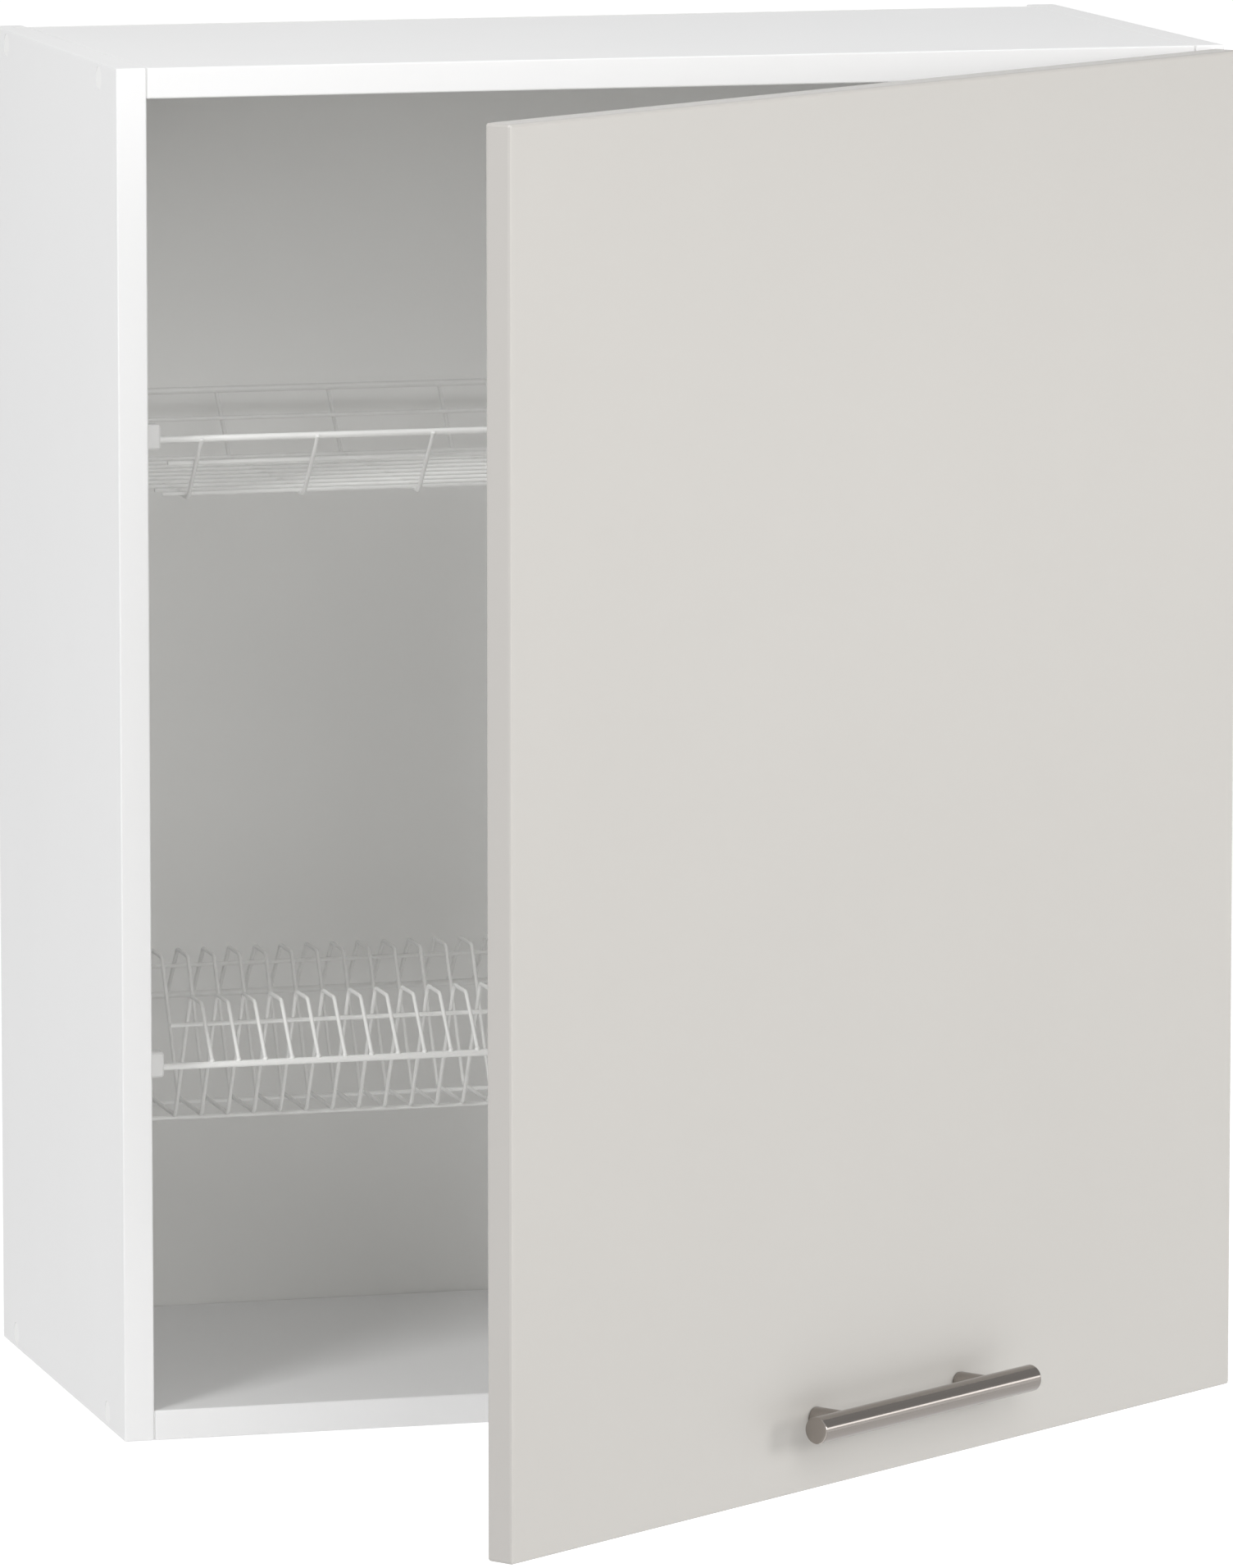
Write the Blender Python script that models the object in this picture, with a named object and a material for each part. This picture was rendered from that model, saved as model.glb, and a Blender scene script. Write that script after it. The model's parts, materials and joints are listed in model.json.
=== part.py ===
"""A wall-hung dish drying cabinet with one door, a cup rack and a plate rack.

Units are metres. X runs to the right, Y to the wall and Z up. The origin is on the wall,
midway between the cabinet's sides, at the height of the wall rail that the hooks sit on.
The door's pieces are modelled shut, from the hinge axis, and an empty turns them open.
"""

import math

import bmesh
import bpy
from mathutils import Matrix, Vector

# Carcass
CABINET_WIDTH = 0.600
CABINET_HEIGHT = 0.720
CABINET_DEPTH = 0.300
BOARD = 0.016
BOARD_EDGE_RADIUS = 0.0008
FIT_GAP = 0.0003
BACK_THICKNESS = 0.003
BACK_INSET = 0.0135
BACK_GROOVE_DEPTH = 0.008
CUT_OVERRUN = 0.002

# Screws that join the boards, and the caps over their heads
PANEL_SCREW_FROM_FRONT = 0.041
PANEL_SCREW_FROM_REAR = 0.0335
PANEL_SCREW_RADIUS = 0.0030
PANEL_SCREW_LENGTH = 0.048
PANEL_SCREW_TIP = 0.004
PANEL_SCREW_HEAD_RADIUS = 0.0046
PANEL_SCREW_HEAD_DEPTH = 0.0035
PANEL_SCREW_SOCKET_RADIUS = 0.0020
PANEL_SCREW_SOCKET_DEPTH = 0.0030
CAP_RADIUS = 0.006
CAP_THICKNESS = 0.0012
CAP_SINK = 0.0002
CAP_TAPER = 0.0003

# Door
DOOR_SIDE_GAP = 0.001
DOOR_END_GAP = 0.002
DOOR_FACE_GAP = 0.002
DOOR_THICKNESS = 0.016
DOOR_EDGE_RADIUS = 0.0015
DOOR_OPEN_DEGREES = 35.2

# Concealed hinges: the axis is a pin low in the cup, held by a gooseneck arm
HINGE_AXIS_FROM_EDGE = 0.0056
HINGE_AXIS_UNDER_FACE = 0.0053
HINGE_FROM_DOOR_END = 0.100
PIN_RADIUS = 0.0009
PIN_HALF_LENGTH = 0.0046
KNUCKLE_BORE = 0.0012
KNUCKLE_RADIUS = 0.0019
KNUCKLE_WIDTH = 0.005
CUP_RADIUS = 0.0175
CUP_DEPTH = 0.0115
CUP_WALL = 0.0006
CUP_FLANGE = 0.001
CUP_FLANGE_MARGIN = 0.0018
CUP_LUG_WIDTH = 0.0015
CUP_LUG_REACH = 0.002
CUP_WING_HALF_LENGTH = 0.028
CUP_WING_HALF_WIDTH = 0.006
CUP_SCREW_SPACING = 0.045
CUP_SCREW_INSET = 0.0095
ARM_SHEET = 0.0015
ARM_REACH = 0.0175
ARM_NECK_WIDTH = 0.010
ARM_WIDTH = 0.014
ARM_BEND_RADIUS = 0.0025
ARM_FLANGE = 0.004
ARM_START_BEHIND_FRONT = 0.008
ARM_END_BEHIND_FRONT = 0.062
PLATE_BASE = 0.002
PLATE_WING_HALF_LENGTH = 0.024
PLATE_WING_WIDTH = 0.013
PLATE_SCREW_FROM_FRONT = 0.037
PLATE_SCREW_SPACING = 0.032
PLATE_RIB_START = 0.024
PLATE_RIB_END = 0.060
WOOD_SCREW_RADIUS = 0.0017
WOOD_SCREW_LENGTH = 0.013
WOOD_SCREW_HEAD_RADIUS = 0.0034
WOOD_SCREW_HEAD = 0.0018

# Handle
HANDLE_LENGTH = 0.180
HANDLE_RADIUS = 0.007
HANDLE_CHAMFER = 0.0006
HANDLE_STANDOFF = 0.021
HANDLE_HOLE_SPACING = 0.120
HANDLE_POSTS_TOWARDS_FREE_EDGE = 0.0042
HANDLE_POST_RADIUS = 0.006
HANDLE_CENTRE_FROM_HINGE_EDGE = 0.2925
HANDLE_ABOVE_DOOR_END = 0.037
HANDLE_SCREW_RADIUS = 0.0019
HANDLE_SCREW_IN_POST = 0.008
HANDLE_SCREW_HEAD_RADIUS = 0.0042
HANDLE_SCREW_HEAD = 0.0024

# Door buffers
BUFFER_RADIUS = 0.004
BUFFER_THICKNESS = 0.0014
BUFFER_FROM_DOOR_END = 0.030

# Rack holders
HOLDER_REACH = 0.0119
HOLDER_LENGTH = 0.0105
HOLDER_HEIGHT = 0.0132
HOLDER_ROD_ABOVE_UNDERSIDE = 0.0046
HOLDER_EDGE_RADIUS = 0.001
HOLDER_PEG_RADIUS = 0.0024
HOLDER_PEG_LENGTH = 0.009
HOLDER_SOCKET_DEPTH = 0.007

# Both racks
RACK_ROD_FROM_FRONT = 0.0305
RACK_ROD_FROM_WALL = 0.0415
RACK_ROD_DIAMETER = 0.0036
RACK_BAR_DIAMETER = 0.0024
RACK_WIRE_DIAMETER = 0.0022
WELD_SINK = 0.0005
WIRE_BEND_RADIUS = 0.0045
ROD_SIDES = 6
WIRE_SIDES = 4

# Cup rack
CUP_RACK_ROD_BELOW_TOP = 0.1963
CUP_RACK_DROP = 0.0344
CUP_RACK_TAPER = 0.030
CUP_RACK_CROSS_PITCH = 0.0623
CUP_RACK_CROSS_MARGIN = 0.030
CUP_RACK_FLOOR_PITCH = 0.01745
CUP_RACK_FLOOR_MARGIN = 0.033
CUP_RACK_FLOOR_END_GAP = 0.0223
CUP_RACK_BAR_END_GAP = 0.0203
CUP_RACK_BAR_DROP = 0.0140

# Plate rack: each wire rises to a front hump, dips to the floor and rises to a rear hump
PLATE_RACK_ROD_HEIGHT = 0.193
PLATE_WIRE_PITCH = 0.0144
PLATE_WIRE_MARGIN = 0.036
PLATE_HUMP_RISE = 0.0288
PLATE_HUMP_START = 0.0240
PLATE_HUMP_WIDTH = 0.0252
PLATE_FLOOR_DROP = 0.0417
PLATE_FLOOR_HALF_WIDTH = 0.0270
PLATE_WIRE_END_RISE = 0.0020
PLATE_MIDDLE_BAR_END_GAP = 0.0298
PLATE_BAR_END_GAP = 0.019
PLATE_REAR_BAR_DROP = 0.0100
PLATE_MIDDLE_BAR_DROP = 0.0165
PLATE_FLOOR_BAR_INSET = 0.0040

# Cabinet hangers
HANG_BELOW_TOP = 0.034
HANGER_WIDTH = 0.016
HANGER_LENGTH = 0.060
HANGER_BELOW_HOOK = 0.034
HOOK_THICKNESS = 0.003
HOOK_RISE = 0.008
HOOK_UNDERSIDE = 0.004
HOOK_LENGTH = 0.046
HOOK_FROM_WALL = 0.0015
HOOK_LIP = 0.002
HOOK_LIP_DROP = 0.009
HOOK_SLOT = 0.0035
HOOK_NOTCH_MARGIN = 0.004

# Places that follow from the sizes above
LEFT = -CABINET_WIDTH / 2
RIGHT = CABINET_WIDTH / 2
INNER_RIGHT = RIGHT - BOARD
FRONT = -CABINET_DEPTH
TOP = HANG_BELOW_TOP
UNDERSIDE = TOP - CABINET_HEIGHT
BACK_REAR = -BACK_INSET
BACK_FRONT = BACK_REAR - BACK_THICKNESS
INSIDE_REAR = BACK_FRONT - FIT_GAP
PANEL_SCREW_SEAT = CAP_SINK + CAP_THICKNESS + FIT_GAP
HINGE_AXIS_X = RIGHT - DOOR_SIDE_GAP - HINGE_AXIS_FROM_EDGE
HINGE_AXIS_Y = FRONT - DOOR_FACE_GAP - HINGE_AXIS_UNDER_FACE
DOOR_WIDTH = CABINET_WIDTH - 2 * DOOR_SIDE_GAP
DOOR_BOTTOM = UNDERSIDE + DOOR_END_GAP
DOOR_TOP = TOP - DOOR_END_GAP
HINGE_HEIGHTS = {"lower": DOOR_BOTTOM + HINGE_FROM_DOOR_END, "upper": DOOR_TOP - HINGE_FROM_DOOR_END}
RACK_FRONT_Y = FRONT + RACK_ROD_FROM_FRONT
RACK_REAR_Y = -RACK_ROD_FROM_WALL
RACK_DEPTH = RACK_REAR_Y - RACK_FRONT_Y
CUP_RACK_ROD_Z = TOP - CUP_RACK_ROD_BELOW_TOP
PLATE_RACK_ROD_Z = UNDERSIDE + PLATE_RACK_ROD_HEIGHT
ROUND_SIDES = 12
SMALL_SIDES = 6


def make_material(name, colour, roughness, metallic=0):
    material = bpy.data.materials.new(name)
    material.use_nodes = True
    shader = material.node_tree.nodes["Principled BSDF"]
    shader.inputs["Base Color"].default_value = (*colour, 1)
    shader.inputs["Roughness"].default_value = roughness
    shader.inputs["Metallic"].default_value = metallic
    return material


def add_box(bm, low, high):
    """A box between two corners."""
    low, high = Vector(low), Vector(high)
    size, middle = high - low, (low + high) / 2
    matrix = Matrix.Translation(middle) @ Matrix.Diagonal((*size, 1))
    bmesh.ops.create_cube(bm, size=1, matrix=matrix)


def add_loop_skin(bm, loops):
    """Skins closed loops of points, one after another, and caps both ends."""
    rings = [[bm.verts.new(point) for point in loop] for loop in loops]
    for ring, following in zip(rings, rings[1:]):
        for i, vertex in enumerate(ring):
            j = (i + 1) % len(ring)
            bm.faces.new((vertex, ring[j], following[j], following[i]))
    bm.faces.new(rings[0][::-1])
    bm.faces.new(rings[-1])


def add_turned(bm, profile, base, axis, sides=ROUND_SIDES):
    """Turns a profile of (distance along the axis, radius) about an axis through base."""
    turn = Vector(axis).to_track_quat("Z", "Y")
    loops = []
    for along, radius in profile:
        angles = [2 * math.pi * i / sides for i in range(sides)]
        ring = [Vector((radius * math.cos(a), radius * math.sin(a), along)) for a in angles]
        loops.append([Vector(base) + turn @ point for point in ring])
    add_loop_skin(bm, loops)


def add_rod(bm, start, end, radius, sides=ROUND_SIDES):
    """A straight round rod between two points."""
    along = Vector(end) - Vector(start)
    add_turned(bm, [(0, radius), (along.length, radius)], start, along, sides)


def rounded(corners, radius):
    """Replaces each inner corner of a path by the two points where a bend would start and end."""
    corners = [Vector(corner) for corner in corners]
    points = [corners[0]]
    for before, corner, after in zip(corners, corners[1:], corners[2:]):
        to_before = (before - corner).normalized()
        to_after = (after - corner).normalized()
        half_angle = to_before.angle(to_after) / 2
        setback = radius / math.tan(half_angle)
        points += [corner + to_before * setback, corner + to_after * setback]
    return points + [corners[-1]]


def add_flat_path(bm, points, side, section):
    """Carries a section along a path that lies in the plane square to side.

    section(i) gives the i-th outline as pairs (distance along side, distance across the path).
    The outlines stand on the mitre lines, stretched there so that the path keeps its thickness.
    """
    points, side = [Vector(point) for point in points], Vector(side)
    loops = []
    for i, point in enumerate(points):
        before = (point - points[max(i - 1, 0)]).normalized()
        after = (points[min(i + 1, len(points) - 1)] - point).normalized()
        along = (before + after).normalized()
        stretch = 1 / max(along.dot(after), along.dot(before))
        across = along.cross(side) * stretch
        loops.append([point + side * a + across * b for a, b in section(i)])
    add_loop_skin(bm, loops)


def add_bent_wire(bm, corners, diameter):
    """A round wire bent in a plane of constant X."""
    points = rounded(corners, WIRE_BEND_RADIUS)
    angles = [2 * math.pi * i / WIRE_SIDES for i in range(WIRE_SIDES)]
    outline = [(diameter / 2 * math.cos(a), diameter / 2 * math.sin(a)) for a in angles]
    add_flat_path(bm, points, (1, 0, 0), lambda i: outline)


def add_extruded(bm, outline, low, high, axis):
    """Extrudes a flat outline along X, Y or Z between two places."""
    def placed(point, along):
        values = list(point)
        values.insert("XYZ".index(axis), along)
        return Vector(values)

    add_loop_skin(bm, [[placed(point, along) for point in outline] for along in (low, high)])


def finish_mesh(name, bm):
    bmesh.ops.recalc_face_normals(bm, faces=bm.faces)
    mesh = bpy.data.meshes.new(name)
    bm.to_mesh(mesh)
    bm.free()
    return mesh


def add_object(name, bm, material=None, parent=None):
    mesh = finish_mesh(name, bm)
    if material:
        mesh.materials.append(material)
    obj = bpy.data.objects.new(name, mesh)
    bpy.context.scene.collection.objects.link(obj)
    obj.parent = parent
    return obj


def add_helper(name, bm, parent=None):
    """A shape that is only added to or cut from others."""
    helper = add_object(name, bm, parent=parent)
    helper.hide_render = True
    helper.display_type = "WIRE"
    return helper


def round_edges(obj, radius, segments=2):
    bevel = obj.modifiers.new("rounded_edges", "BEVEL")
    bevel.width = radius
    bevel.segments = segments
    bevel.limit_method = "ANGLE"


def combine(obj, helper, operation):
    boolean = obj.modifiers.new(helper.name, "BOOLEAN")
    boolean.operation = operation
    boolean.object = helper
    boolean.solver = "EXACT"


def smooth(obj, degrees=40):
    obj.data.shade_smooth()
    obj.data.set_sharp_from_angle(angle=math.radians(degrees))


def panel_screw_places():
    """Where the board screws go: a name, the height, and the distance along Y."""
    places = {}
    for end, height in (("top", TOP - BOARD / 2), ("bottom", UNDERSIDE + BOARD / 2)):
        places[end + "_front"] = (FRONT + PANEL_SCREW_FROM_FRONT, height)
        places[end + "_rear"] = (-PANEL_SCREW_FROM_REAR, height)
    return places


def holder_places():
    """Where the rack holders go: a name, and the rod's Y and height."""
    places = {}
    for rack, rod_z in (("cup", CUP_RACK_ROD_Z), ("plate", PLATE_RACK_ROD_Z)):
        places[rack + "_front"] = (RACK_FRONT_Y, rod_z)
        places[rack + "_rear"] = (RACK_REAR_Y, rod_z)
    return places


def build_side_panel(side, direction, board_white):
    """direction is -1 on the left and 1 on the right."""
    outer, inner = direction * RIGHT, direction * INNER_RIGHT
    bm = bmesh.new()
    add_box(bm, (min(outer, inner), FRONT, UNDERSIDE), (max(outer, inner), 0, TOP))
    panel = add_object("side_panel_" + side, bm, board_white)
    round_edges(panel, BOARD_EDGE_RADIUS)

    cuts = bmesh.new()
    groove_floor = inner + direction * BACK_GROOVE_DEPTH
    mouth = inner - direction * CUT_OVERRUN
    add_box(
        cuts,
        (min(groove_floor, mouth), BACK_FRONT - FIT_GAP, UNDERSIDE - CUT_OVERRUN),
        (max(groove_floor, mouth), BACK_REAR + FIT_GAP, TOP + CUT_OVERRUN),
    )
    cap_seats = bmesh.new()
    for y, z in panel_screw_places().values():
        cap = CAP_RADIUS + FIT_GAP
        head = PANEL_SCREW_HEAD_RADIUS + FIT_GAP
        shank = PANEL_SCREW_RADIUS + FIT_GAP
        head_floor = PANEL_SCREW_SEAT + PANEL_SCREW_HEAD_DEPTH + FIT_GAP
        through = BOARD + CUT_OVERRUN
        profile = [(-CUT_OVERRUN, head), (head_floor, head), (head_floor, shank), (through, shank)]
        add_turned(cuts, profile, (outer, y, z), (-direction, 0, 0), SMALL_SIDES)
        profile = [(-CUT_OVERRUN, cap), (PANEL_SCREW_SEAT, cap)]
        add_turned(cap_seats, profile, (outer, y, z), (-direction, 0, 0))
    for y, z in holder_places().values():
        depth = HOLDER_PEG_LENGTH + FIT_GAP
        peg = HOLDER_PEG_RADIUS + FIT_GAP
        profile = [(-depth, peg), (CUT_OVERRUN, peg)]
        add_turned(cuts, profile, (inner, y, z), (-direction, 0, 0), SMALL_SIDES)
    if side == "right":
        for height in HINGE_HEIGHTS.values():
            for end in (-1, 1):
                z = height + end * PLATE_SCREW_SPACING / 2
                hole = WOOD_SCREW_RADIUS + FIT_GAP
                y = FRONT + PLATE_SCREW_FROM_FRONT
                profile = [(-WOOD_SCREW_LENGTH, hole), (CUT_OVERRUN, hole)]
                add_turned(cuts, profile, (inner, y, z), (-1, 0, 0), SMALL_SIDES)
    combine(panel, add_helper("side_cuts_" + side, cuts), "DIFFERENCE")
    combine(panel, add_helper("cap_seats_" + side, cap_seats), "DIFFERENCE")


def build_flat_panel(end, low_z, board_white):
    """The top or the bottom panel, between the side panels."""
    half = INNER_RIGHT - FIT_GAP
    bm = bmesh.new()
    add_box(bm, (-half, FRONT, low_z), (half, INSIDE_REAR, low_z + BOARD))
    panel = add_object(end + "_panel", bm, board_white)
    round_edges(panel, BOARD_EDGE_RADIUS)
    cuts = bmesh.new()
    bore = PANEL_SCREW_RADIUS + FIT_GAP
    depth = PANEL_SCREW_SEAT + PANEL_SCREW_LENGTH - BOARD + CUT_OVERRUN
    for place, (y, z) in panel_screw_places().items():
        if place.startswith(end):
            for direction in (-1, 1):
                start = (direction * (half + CUT_OVERRUN), y, z)
                profile = [(0, bore), (depth + CUT_OVERRUN, bore)]
                add_turned(cuts, profile, start, (-direction, 0, 0), SMALL_SIDES)
    combine(panel, add_helper(end + "_cuts", cuts), "DIFFERENCE")


def hook_middle(direction):
    return direction * (INNER_RIGHT - FIT_GAP - HANGER_WIDTH / 2)


def build_back_panel(board_back):
    half = INNER_RIGHT + BACK_GROOVE_DEPTH - FIT_GAP
    bm = bmesh.new()
    add_box(bm, (-half, BACK_FRONT, UNDERSIDE), (half, BACK_REAR, TOP))
    panel = add_object("back_panel", bm, board_back)
    cuts = bmesh.new()
    for direction in (-1, 1):
        middle = hook_middle(direction)
        half_notch = HOOK_THICKNESS / 2 + HOOK_NOTCH_MARGIN
        add_box(
            cuts,
            (middle - half_notch, BACK_FRONT - CUT_OVERRUN, -HOOK_LIP_DROP - HOOK_NOTCH_MARGIN),
            (middle + half_notch, BACK_REAR + CUT_OVERRUN, HOOK_RISE + HOOK_NOTCH_MARGIN),
        )
    combine(panel, add_helper("back_notches", cuts), "DIFFERENCE")


def build_panel_screws(side, direction, steel, cap_white):
    """One screw at each place on this side, and a cover cap that lies flush over its head."""
    for place, (y, z) in panel_screw_places().items():
        axis = (-direction, 0, 0)
        bm = bmesh.new()
        neck = PANEL_SCREW_SEAT + PANEL_SCREW_HEAD_DEPTH
        tip = PANEL_SCREW_SEAT + PANEL_SCREW_LENGTH
        profile = [
            (PANEL_SCREW_SEAT + PANEL_SCREW_SOCKET_DEPTH, PANEL_SCREW_SOCKET_RADIUS),
            (PANEL_SCREW_SEAT, PANEL_SCREW_SOCKET_RADIUS),
            (PANEL_SCREW_SEAT, PANEL_SCREW_HEAD_RADIUS),
            (neck, PANEL_SCREW_HEAD_RADIUS),
            (neck, PANEL_SCREW_RADIUS),
            (tip - PANEL_SCREW_TIP, PANEL_SCREW_RADIUS),
            (tip, PANEL_SCREW_RADIUS / 2),
        ]
        add_turned(bm, profile, (direction * RIGHT, y, z), axis, SMALL_SIDES)
        smooth(add_object(f"panel_screw_{side}_{place}", bm, steel))

        bm = bmesh.new()
        stem = PANEL_SCREW_SOCKET_RADIUS - FIT_GAP
        underside = PANEL_SCREW_SEAT - FIT_GAP
        profile = [
            (underside + PANEL_SCREW_SOCKET_DEPTH, stem),
            (underside, stem),
            (underside, CAP_RADIUS),
            (CAP_SINK, CAP_RADIUS - CAP_TAPER),
        ]
        add_turned(bm, profile, (direction * RIGHT, y, z), axis)
        smooth(add_object(f"cover_cap_{side}_{place}", bm, cap_white))


def build_door(axis, board_door):
    """The door panel, shut, measured from the hinge axis."""
    back, edge = HINGE_AXIS_UNDER_FACE, HINGE_AXIS_FROM_EDGE
    bm = bmesh.new()
    add_box(bm, (edge - DOOR_WIDTH, back - DOOR_THICKNESS, DOOR_BOTTOM), (edge, back, DOOR_TOP))
    panel = add_object("door_panel", bm, board_door, axis)
    round_edges(panel, DOOR_EDGE_RADIUS)
    cuts = bmesh.new()
    for height in HINGE_HEIGHTS.values():
        floor = CUP_DEPTH + FIT_GAP
        profile = [(-floor, CUP_RADIUS), (CUT_OVERRUN, CUP_RADIUS)]
        add_turned(cuts, profile, (cup_middle(), back, height), (0, 1, 0), 2 * ROUND_SIDES)
        for end in (-1, 1):
            hole = WOOD_SCREW_RADIUS + FIT_GAP
            start = (cup_middle() - CUP_SCREW_INSET, back, height + end * CUP_SCREW_SPACING / 2)
            profile = [(-WOOD_SCREW_LENGTH, hole), (CUT_OVERRUN, hole)]
            add_turned(cuts, profile, start, (0, 1, 0), SMALL_SIDES)
    for x in handle_holes().values():
        hole = HANDLE_SCREW_RADIUS + FIT_GAP
        profile = [(-DOOR_THICKNESS - CUT_OVERRUN, hole), (CUT_OVERRUN, hole)]
        add_turned(cuts, profile, (x, back, handle_height()), (0, 1, 0), SMALL_SIDES)
    combine(panel, add_helper("door_cuts", cuts, axis), "DIFFERENCE")


def cup_middle():
    """The cup's middle from the hinge axis: the knuckle turns just inside the cup's wall."""
    return KNUCKLE_RADIUS + 2 * FIT_GAP + CUP_WALL - CUP_RADIUS


def handle_middle():
    return HINGE_AXIS_FROM_EDGE - HANDLE_CENTRE_FROM_HINGE_EDGE


def handle_height():
    return DOOR_BOTTOM + HANDLE_ABOVE_DOOR_END


def handle_holes():
    """The posts stand nearer the bar's end at the door's free edge."""
    middle = handle_middle() - HANDLE_POSTS_TOWARDS_FREE_EDGE
    half = HANDLE_HOLE_SPACING / 2
    return {"left": middle - half, "right": middle + half}


def build_handle(axis, satin_steel):
    """A round bar on two round posts, which are hollowed to fit it."""
    face = HINGE_AXIS_UNDER_FACE - DOOR_THICKNESS
    bar_y = face - HANDLE_STANDOFF
    height = handle_height()
    bm = bmesh.new()
    profile = [
        (0, HANDLE_RADIUS - HANDLE_CHAMFER),
        (HANDLE_CHAMFER, HANDLE_RADIUS),
        (HANDLE_LENGTH - HANDLE_CHAMFER, HANDLE_RADIUS),
        (HANDLE_LENGTH, HANDLE_RADIUS - HANDLE_CHAMFER),
    ]
    start = (handle_middle() - HANDLE_LENGTH / 2, bar_y, height)
    add_turned(bm, profile, start, (1, 0, 0), 2 * ROUND_SIDES)
    smooth(add_object("handle_bar", bm, satin_steel, axis))

    seat = bmesh.new()
    half = HANDLE_LENGTH / 2 + CUT_OVERRUN
    add_rod(seat, (handle_middle() - half, bar_y, height), (handle_middle() + half, bar_y, height),
            HANDLE_RADIUS + FIT_GAP, 2 * ROUND_SIDES)
    seat_cut = add_helper("handle_seat_cut", seat, axis)
    for side, x in handle_holes().items():
        bm = bmesh.new()
        add_rod(bm, (x, face - FIT_GAP, height), (x, bar_y, height), HANDLE_POST_RADIUS)
        post = add_object("handle_post_" + side, bm, satin_steel, axis)
        combine(post, seat_cut, "DIFFERENCE")
        bore = bmesh.new()
        hole = HANDLE_SCREW_RADIUS + FIT_GAP
        depth = HANDLE_SCREW_IN_POST + 2 * FIT_GAP
        add_rod(bore, (x, face + CUT_OVERRUN, height), (x, face - depth, height), hole, SMALL_SIDES)
        combine(post, add_helper("post_bore_" + side, bore, axis), "DIFFERENCE")

        bm = bmesh.new()
        back = HINGE_AXIS_UNDER_FACE + FIT_GAP
        profile = [
            (-DOOR_THICKNESS - HANDLE_SCREW_IN_POST, HANDLE_SCREW_RADIUS),
            (0, HANDLE_SCREW_RADIUS),
            (0, HANDLE_SCREW_HEAD_RADIUS),
            (HANDLE_SCREW_HEAD / 2, HANDLE_SCREW_HEAD_RADIUS),
            (HANDLE_SCREW_HEAD, HANDLE_SCREW_HEAD_RADIUS / 2),
        ]
        add_turned(bm, profile, (x, back, height), (0, 1, 0), SMALL_SIDES)
        smooth(add_object("handle_screw_" + side, bm, satin_steel, axis))


def build_buffers(axis, clear_rubber):
    """Two soft buttons on the door's back, which meet the left side panel's front edge."""
    x = HINGE_AXIS_FROM_EDGE - DOOR_WIDTH - DOOR_SIDE_GAP + BOARD / 2
    back = HINGE_AXIS_UNDER_FACE + FIT_GAP
    heights = {"upper": DOOR_TOP - BUFFER_FROM_DOOR_END, "lower": DOOR_BOTTOM + BUFFER_FROM_DOOR_END}
    for place, height in heights.items():
        bm = bmesh.new()
        profile = [
            (0, BUFFER_RADIUS),
            (BUFFER_THICKNESS / 2, BUFFER_RADIUS),
            (BUFFER_THICKNESS, BUFFER_RADIUS / 2),
        ]
        add_turned(bm, profile, (x, back, height), (0, 1, 0), SMALL_SIDES)
        smooth(add_object("door_buffer_" + place, bm, clear_rubber, axis))


def flange_outline(middle):
    """The cup's flange from above, in X and Z: round, with two wings and a flat beside the axis."""
    radius = CUP_RADIUS + CUP_FLANGE_MARGIN
    wing_x = middle - CUP_SCREW_INSET
    wing_sides = (wing_x + CUP_WING_HALF_WIDTH, wing_x - CUP_WING_HALF_WIDTH)
    flat, first, second = [math.acos((x - middle) / radius) for x in (KNUCKLE_RADIUS / 2, *wing_sides)]

    def arc(start, stop):
        steps = math.ceil((stop - start) / math.tau * ROUND_SIDES)
        angles = [start + (stop - start) * i / steps for i in range(steps + 1)]
        return [(middle + radius * math.cos(a), radius * math.sin(a)) for a in angles]

    wing = [(x, CUP_WING_HALF_LENGTH) for x in wing_sides]
    upper = arc(flat, first) + wing + arc(second, math.pi)
    lower = [(x, -z) for x, z in upper[:-1]]
    return upper + lower[::-1]


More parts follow.
